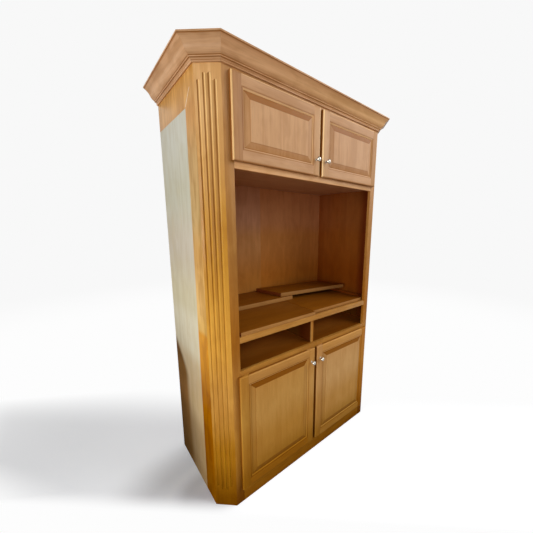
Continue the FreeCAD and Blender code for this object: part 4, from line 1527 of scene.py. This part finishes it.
@dataclass
class Stage:
    """Floor, lamps, world and camera."""

    frame_size: float = 533.0
    focal: float = 259.633          # pixels
    optical_centre: tuple[float, float] = (299.684, 273.683)
    eye: Triple = (-1.0518, -1.3064, 1.4511)
    right: Triple = (0.74998, -0.66133, 0.01293)
    down: Triple = (-0.11016, -0.14415, -0.98340)
    forward: Triple = (0.65222, 0.73611, -0.18097)
    sensor: float = 36.0
    flag_place: float = -1.68       # how far left the dark card stands
    floor_reach: float = 40.0       # half the floor's width
    to_back: Triple = (0.69, 0.72, 0.0)         # ways in which the floor fades
    to_left: Triple = (-0.72, 0.69, 0.0)
    to_front: Triple = (-0.906, -0.513, 0.0)
    painted_shadow_scale: Triple = (2.6, 3.6, 0.0)        # 1 / radii of the dark oval
    painted_shadow_shift: Triple = (1.765, -0.07, 0.0)    # puts its middle at the foot
    front_foot: Triple = (-0.64, -0.10, 0.0)    # the front corner's foot

    def build(self) -> None:
        """Set up everything that isn't part of the armoire."""
        self.build_camera()
        self.build_floor()
        self.build_world()
        self.build_lamps()
        self.build_flag()
        bpy.context.scene.view_settings.view_transform = "Standard"

    def build_camera(self) -> None:
        """Camera at the viewing angle; the shift puts the optical centre off the middle."""
        data = bpy.data.cameras.new("camera")
        data.sensor_width = self.sensor
        data.lens = self.focal * self.sensor / self.frame_size
        data.shift_x = (self.frame_size / 2 - self.optical_centre[0]) / self.frame_size
        data.shift_y = (self.optical_centre[1] - self.frame_size / 2) / self.frame_size
        data.clip_start = 0.05
        camera = put("camera", data)
        stand(camera, self.right, -np.array(self.down), -np.array(self.forward), self.eye)
        bpy.context.scene.camera = camera

    def build_floor(self) -> None:
        """Pale floor that keeps the armoire's shadow and fades to plain white away from it.

        It fades with the distance from the armoire, to the back along one level direction, to
        the left along the other, and to the front. Near the foot of the left side and under the
        front corner its glow is cut, which paints a darker contact shadow on the floor there. What
        the floor gives back to the armoire is browner and darker than what the eye sees of it, like
        an old plank floor.
        """
        size = self.floor_reach
        mesh = bpy.data.meshes.new("floor")
        mesh.from_pydata([(-size, -size, 0), (size, -size, 0), (size, size, 0), (-size, size, 0)],
                         [], [[0, 1, 2, 3]])
        floor = put("floor", mesh)
        material, tree = new_material("matt_white_floor")
        place = add_node(tree, "TexCoord", out="Object")
        reach = measure(tree, "LENGTH", place)
        aside, left, forward = (measure(tree, "DOT_PRODUCT", place, way)
                                for way in (self.to_back, self.to_left, self.to_front))
        far = calc(tree, "ADD", ramp(tree, aside, -0.1, 0.4), ramp(tree, left, 1.15, 3.65))
        for side in (ramp(tree, reach, 2.4, 5.0), ramp(tree, aside, -0.62, -0.52, 1.0, 0.0),
                     ramp(tree, forward, 0.84, 1.1)):
            far = calc(tree, "MAXIMUM", far, side)
        bounce = add_node(tree, "BsdfDiffuse", {0: "#9C8058"})
        matt = add_node(tree, "BsdfDiffuse", {0: "#E9EDF4"})
        local = add_node(tree, "VectorMath", {0: place, 1: self.painted_shadow_scale, 2: self.painted_shadow_shift},
                         operation="MULTIPLY_ADD")
        near_foot = measure(tree, "LENGTH", local)
        # the glow is cut in an oval at the foot and round the front corner, which paints a darker
        # contact shadow on the floor
        corner = measure(tree, "DISTANCE", place, self.front_foot)
        lift = calc(tree, "MULTIPLY", ramp(tree, near_foot, 0.3, 1.4, 0.15, 0.44),
                    ramp(tree, corner, 0.09, 0.2))
        glow = add_node(tree, "Emission", {0: "#FFFFFF", 1: lift})
        near = add_node(tree, "AddShader", {0: matt, 1: glow})
        white = add_node(tree, "Emission", {0: "#FDFDFD",
                                            1: ramp(tree, reach, 3.6, 6.4, 1.0, 0.956)})
        bright = add_node(tree, "MixShader", {0: far, 1: near, 2: white})
        both = add_node(tree, "MixShader", {0: self.seen_by_eye(tree), 1: bounce, 2: bright})
        add_node(tree, "OutputMaterial", {0: both}, None)
        mesh.materials.append(material)

    def seen_by_eye(self, tree: Tree) -> Socket:
        """1 for rays from the camera or a mirror-like or clear surface, else 0."""
        path = add_node(tree, "LightPath", out=None)
        pair = calc(tree, "MAXIMUM", path["Is Camera Ray"], path["Is Glossy Ray"])
        return calc(tree, "MAXIMUM", pair, path["Is Transmission Ray"])

    def build_world(self) -> None:
        """White backdrop for the eye, a soft grey fill for everything else."""
        world = bpy.data.worlds.new("studio")
        world.use_nodes = True
        tree = world.node_tree
        tree.nodes.clear()
        backdrop = add_node(tree, "Background", {0: "#F8F8F8", 1: 1.0})
        fill = add_node(tree, "Background", {0: "#FFFFFF", 1: 0.27})
        both = add_node(tree, "MixShader", {0: self.seen_by_eye(tree), 1: fill, 2: backdrop})
        add_node(tree, "OutputWorld", {0: both}, None)
        bpy.context.scene.world = world

    def lamp(self, name: str, place: Sequence[float], aim: Sequence[float],
             size: tuple[float, float], power: float, colour: str) -> None:
        """Add one rectangular soft lamp.

        Args:
            name: Name of the lamp.
            place: Where it stands.
            aim: What it points at.
            size: Width and height in metres.
            power: Watts.
            colour: sRGB hex.
        """
        data = bpy.data.lights.new(name, "AREA")
        data.shape = "RECTANGLE"
        data.size, data.size_y = size
        data.energy = power
        data.color = linear(colour)[:3]
        backward = np.asarray(place, float) - np.asarray(aim, float)
        backward /= np.linalg.norm(backward)
        side = np.cross(Z_AXIS, backward)
        side /= np.linalg.norm(side)
        stand(put(name, data), side, np.cross(backward, side), backward, place)

    def build_lamps(self) -> None:
        """A high soft key on the right, a broad fill in front, a window on the left."""
        aim = (0.0, 0.0, 1.2)
        self.lamp("key", (2.4, -2.5, 3.4), aim, (3.2, 3.2), 116, "#FFFFFF")
        self.lamp("fill", (-2.2, -2.8, 1.5), aim, (2.4, 2.0), 22, "#FFFFFF")
        self.lamp("window", (-4.0, -0.9, 1.5), (-0.6, 0.0, 1.2), (1.0, 1.4), 84, "#FFFFFF")

    def build_flag(self) -> None:
        """Dark card left of the armoire that keeps the window off the low back of its side."""
        outline = [(-0.31, 0.05), (-0.31, 0.5), (-0.25, 0.6), (-0.22, 0.8), (-0.16, 0.87),
                   (-0.02, 0.93), (2.2, 1.22), (2.2, 0.05)]
        mesh = bpy.data.meshes.new("flag")
        mesh.from_pydata([(self.flag_place, y, z) for y, z in outline], [],
                         [list(range(len(outline)))])
        flag = put("flag", mesh)
        flag.visible_camera = flag.visible_glossy = False
        material, tree = new_material("black_felt_flag")
        felt = add_node(tree, "BsdfDiffuse", {0: "#1C1A18"})
        add_node(tree, "OutputMaterial", {0: felt}, None)
        mesh.materials.append(material)


def main() -> None:
    """Build the armoire's looks round its frame."""
    logging.basicConfig(level=logging.INFO, format="%(message)s")
    palette = make_palette()
    workshop = Workshop()
    Stage().build()
    Case(palette, workshop).build()
    Crown(palette, workshop).build()
    # strength of the painted highlight on each level's outer rounds
    for level, finish, painted_highlight in (("upper", palette["upper_door"], 1.0),
                                  ("lower", palette["lower_door"], 0.15)):
        for side in ("left", "right"):
            RaisedPanelDoor(palette, workshop, level, side, finish, painted_highlight=painted_highlight).build()
    LooseBoards(palette, workshop).build()
    LOG.info("%d pieces", workshop.count)


if __name__ == "__main__":
    main()
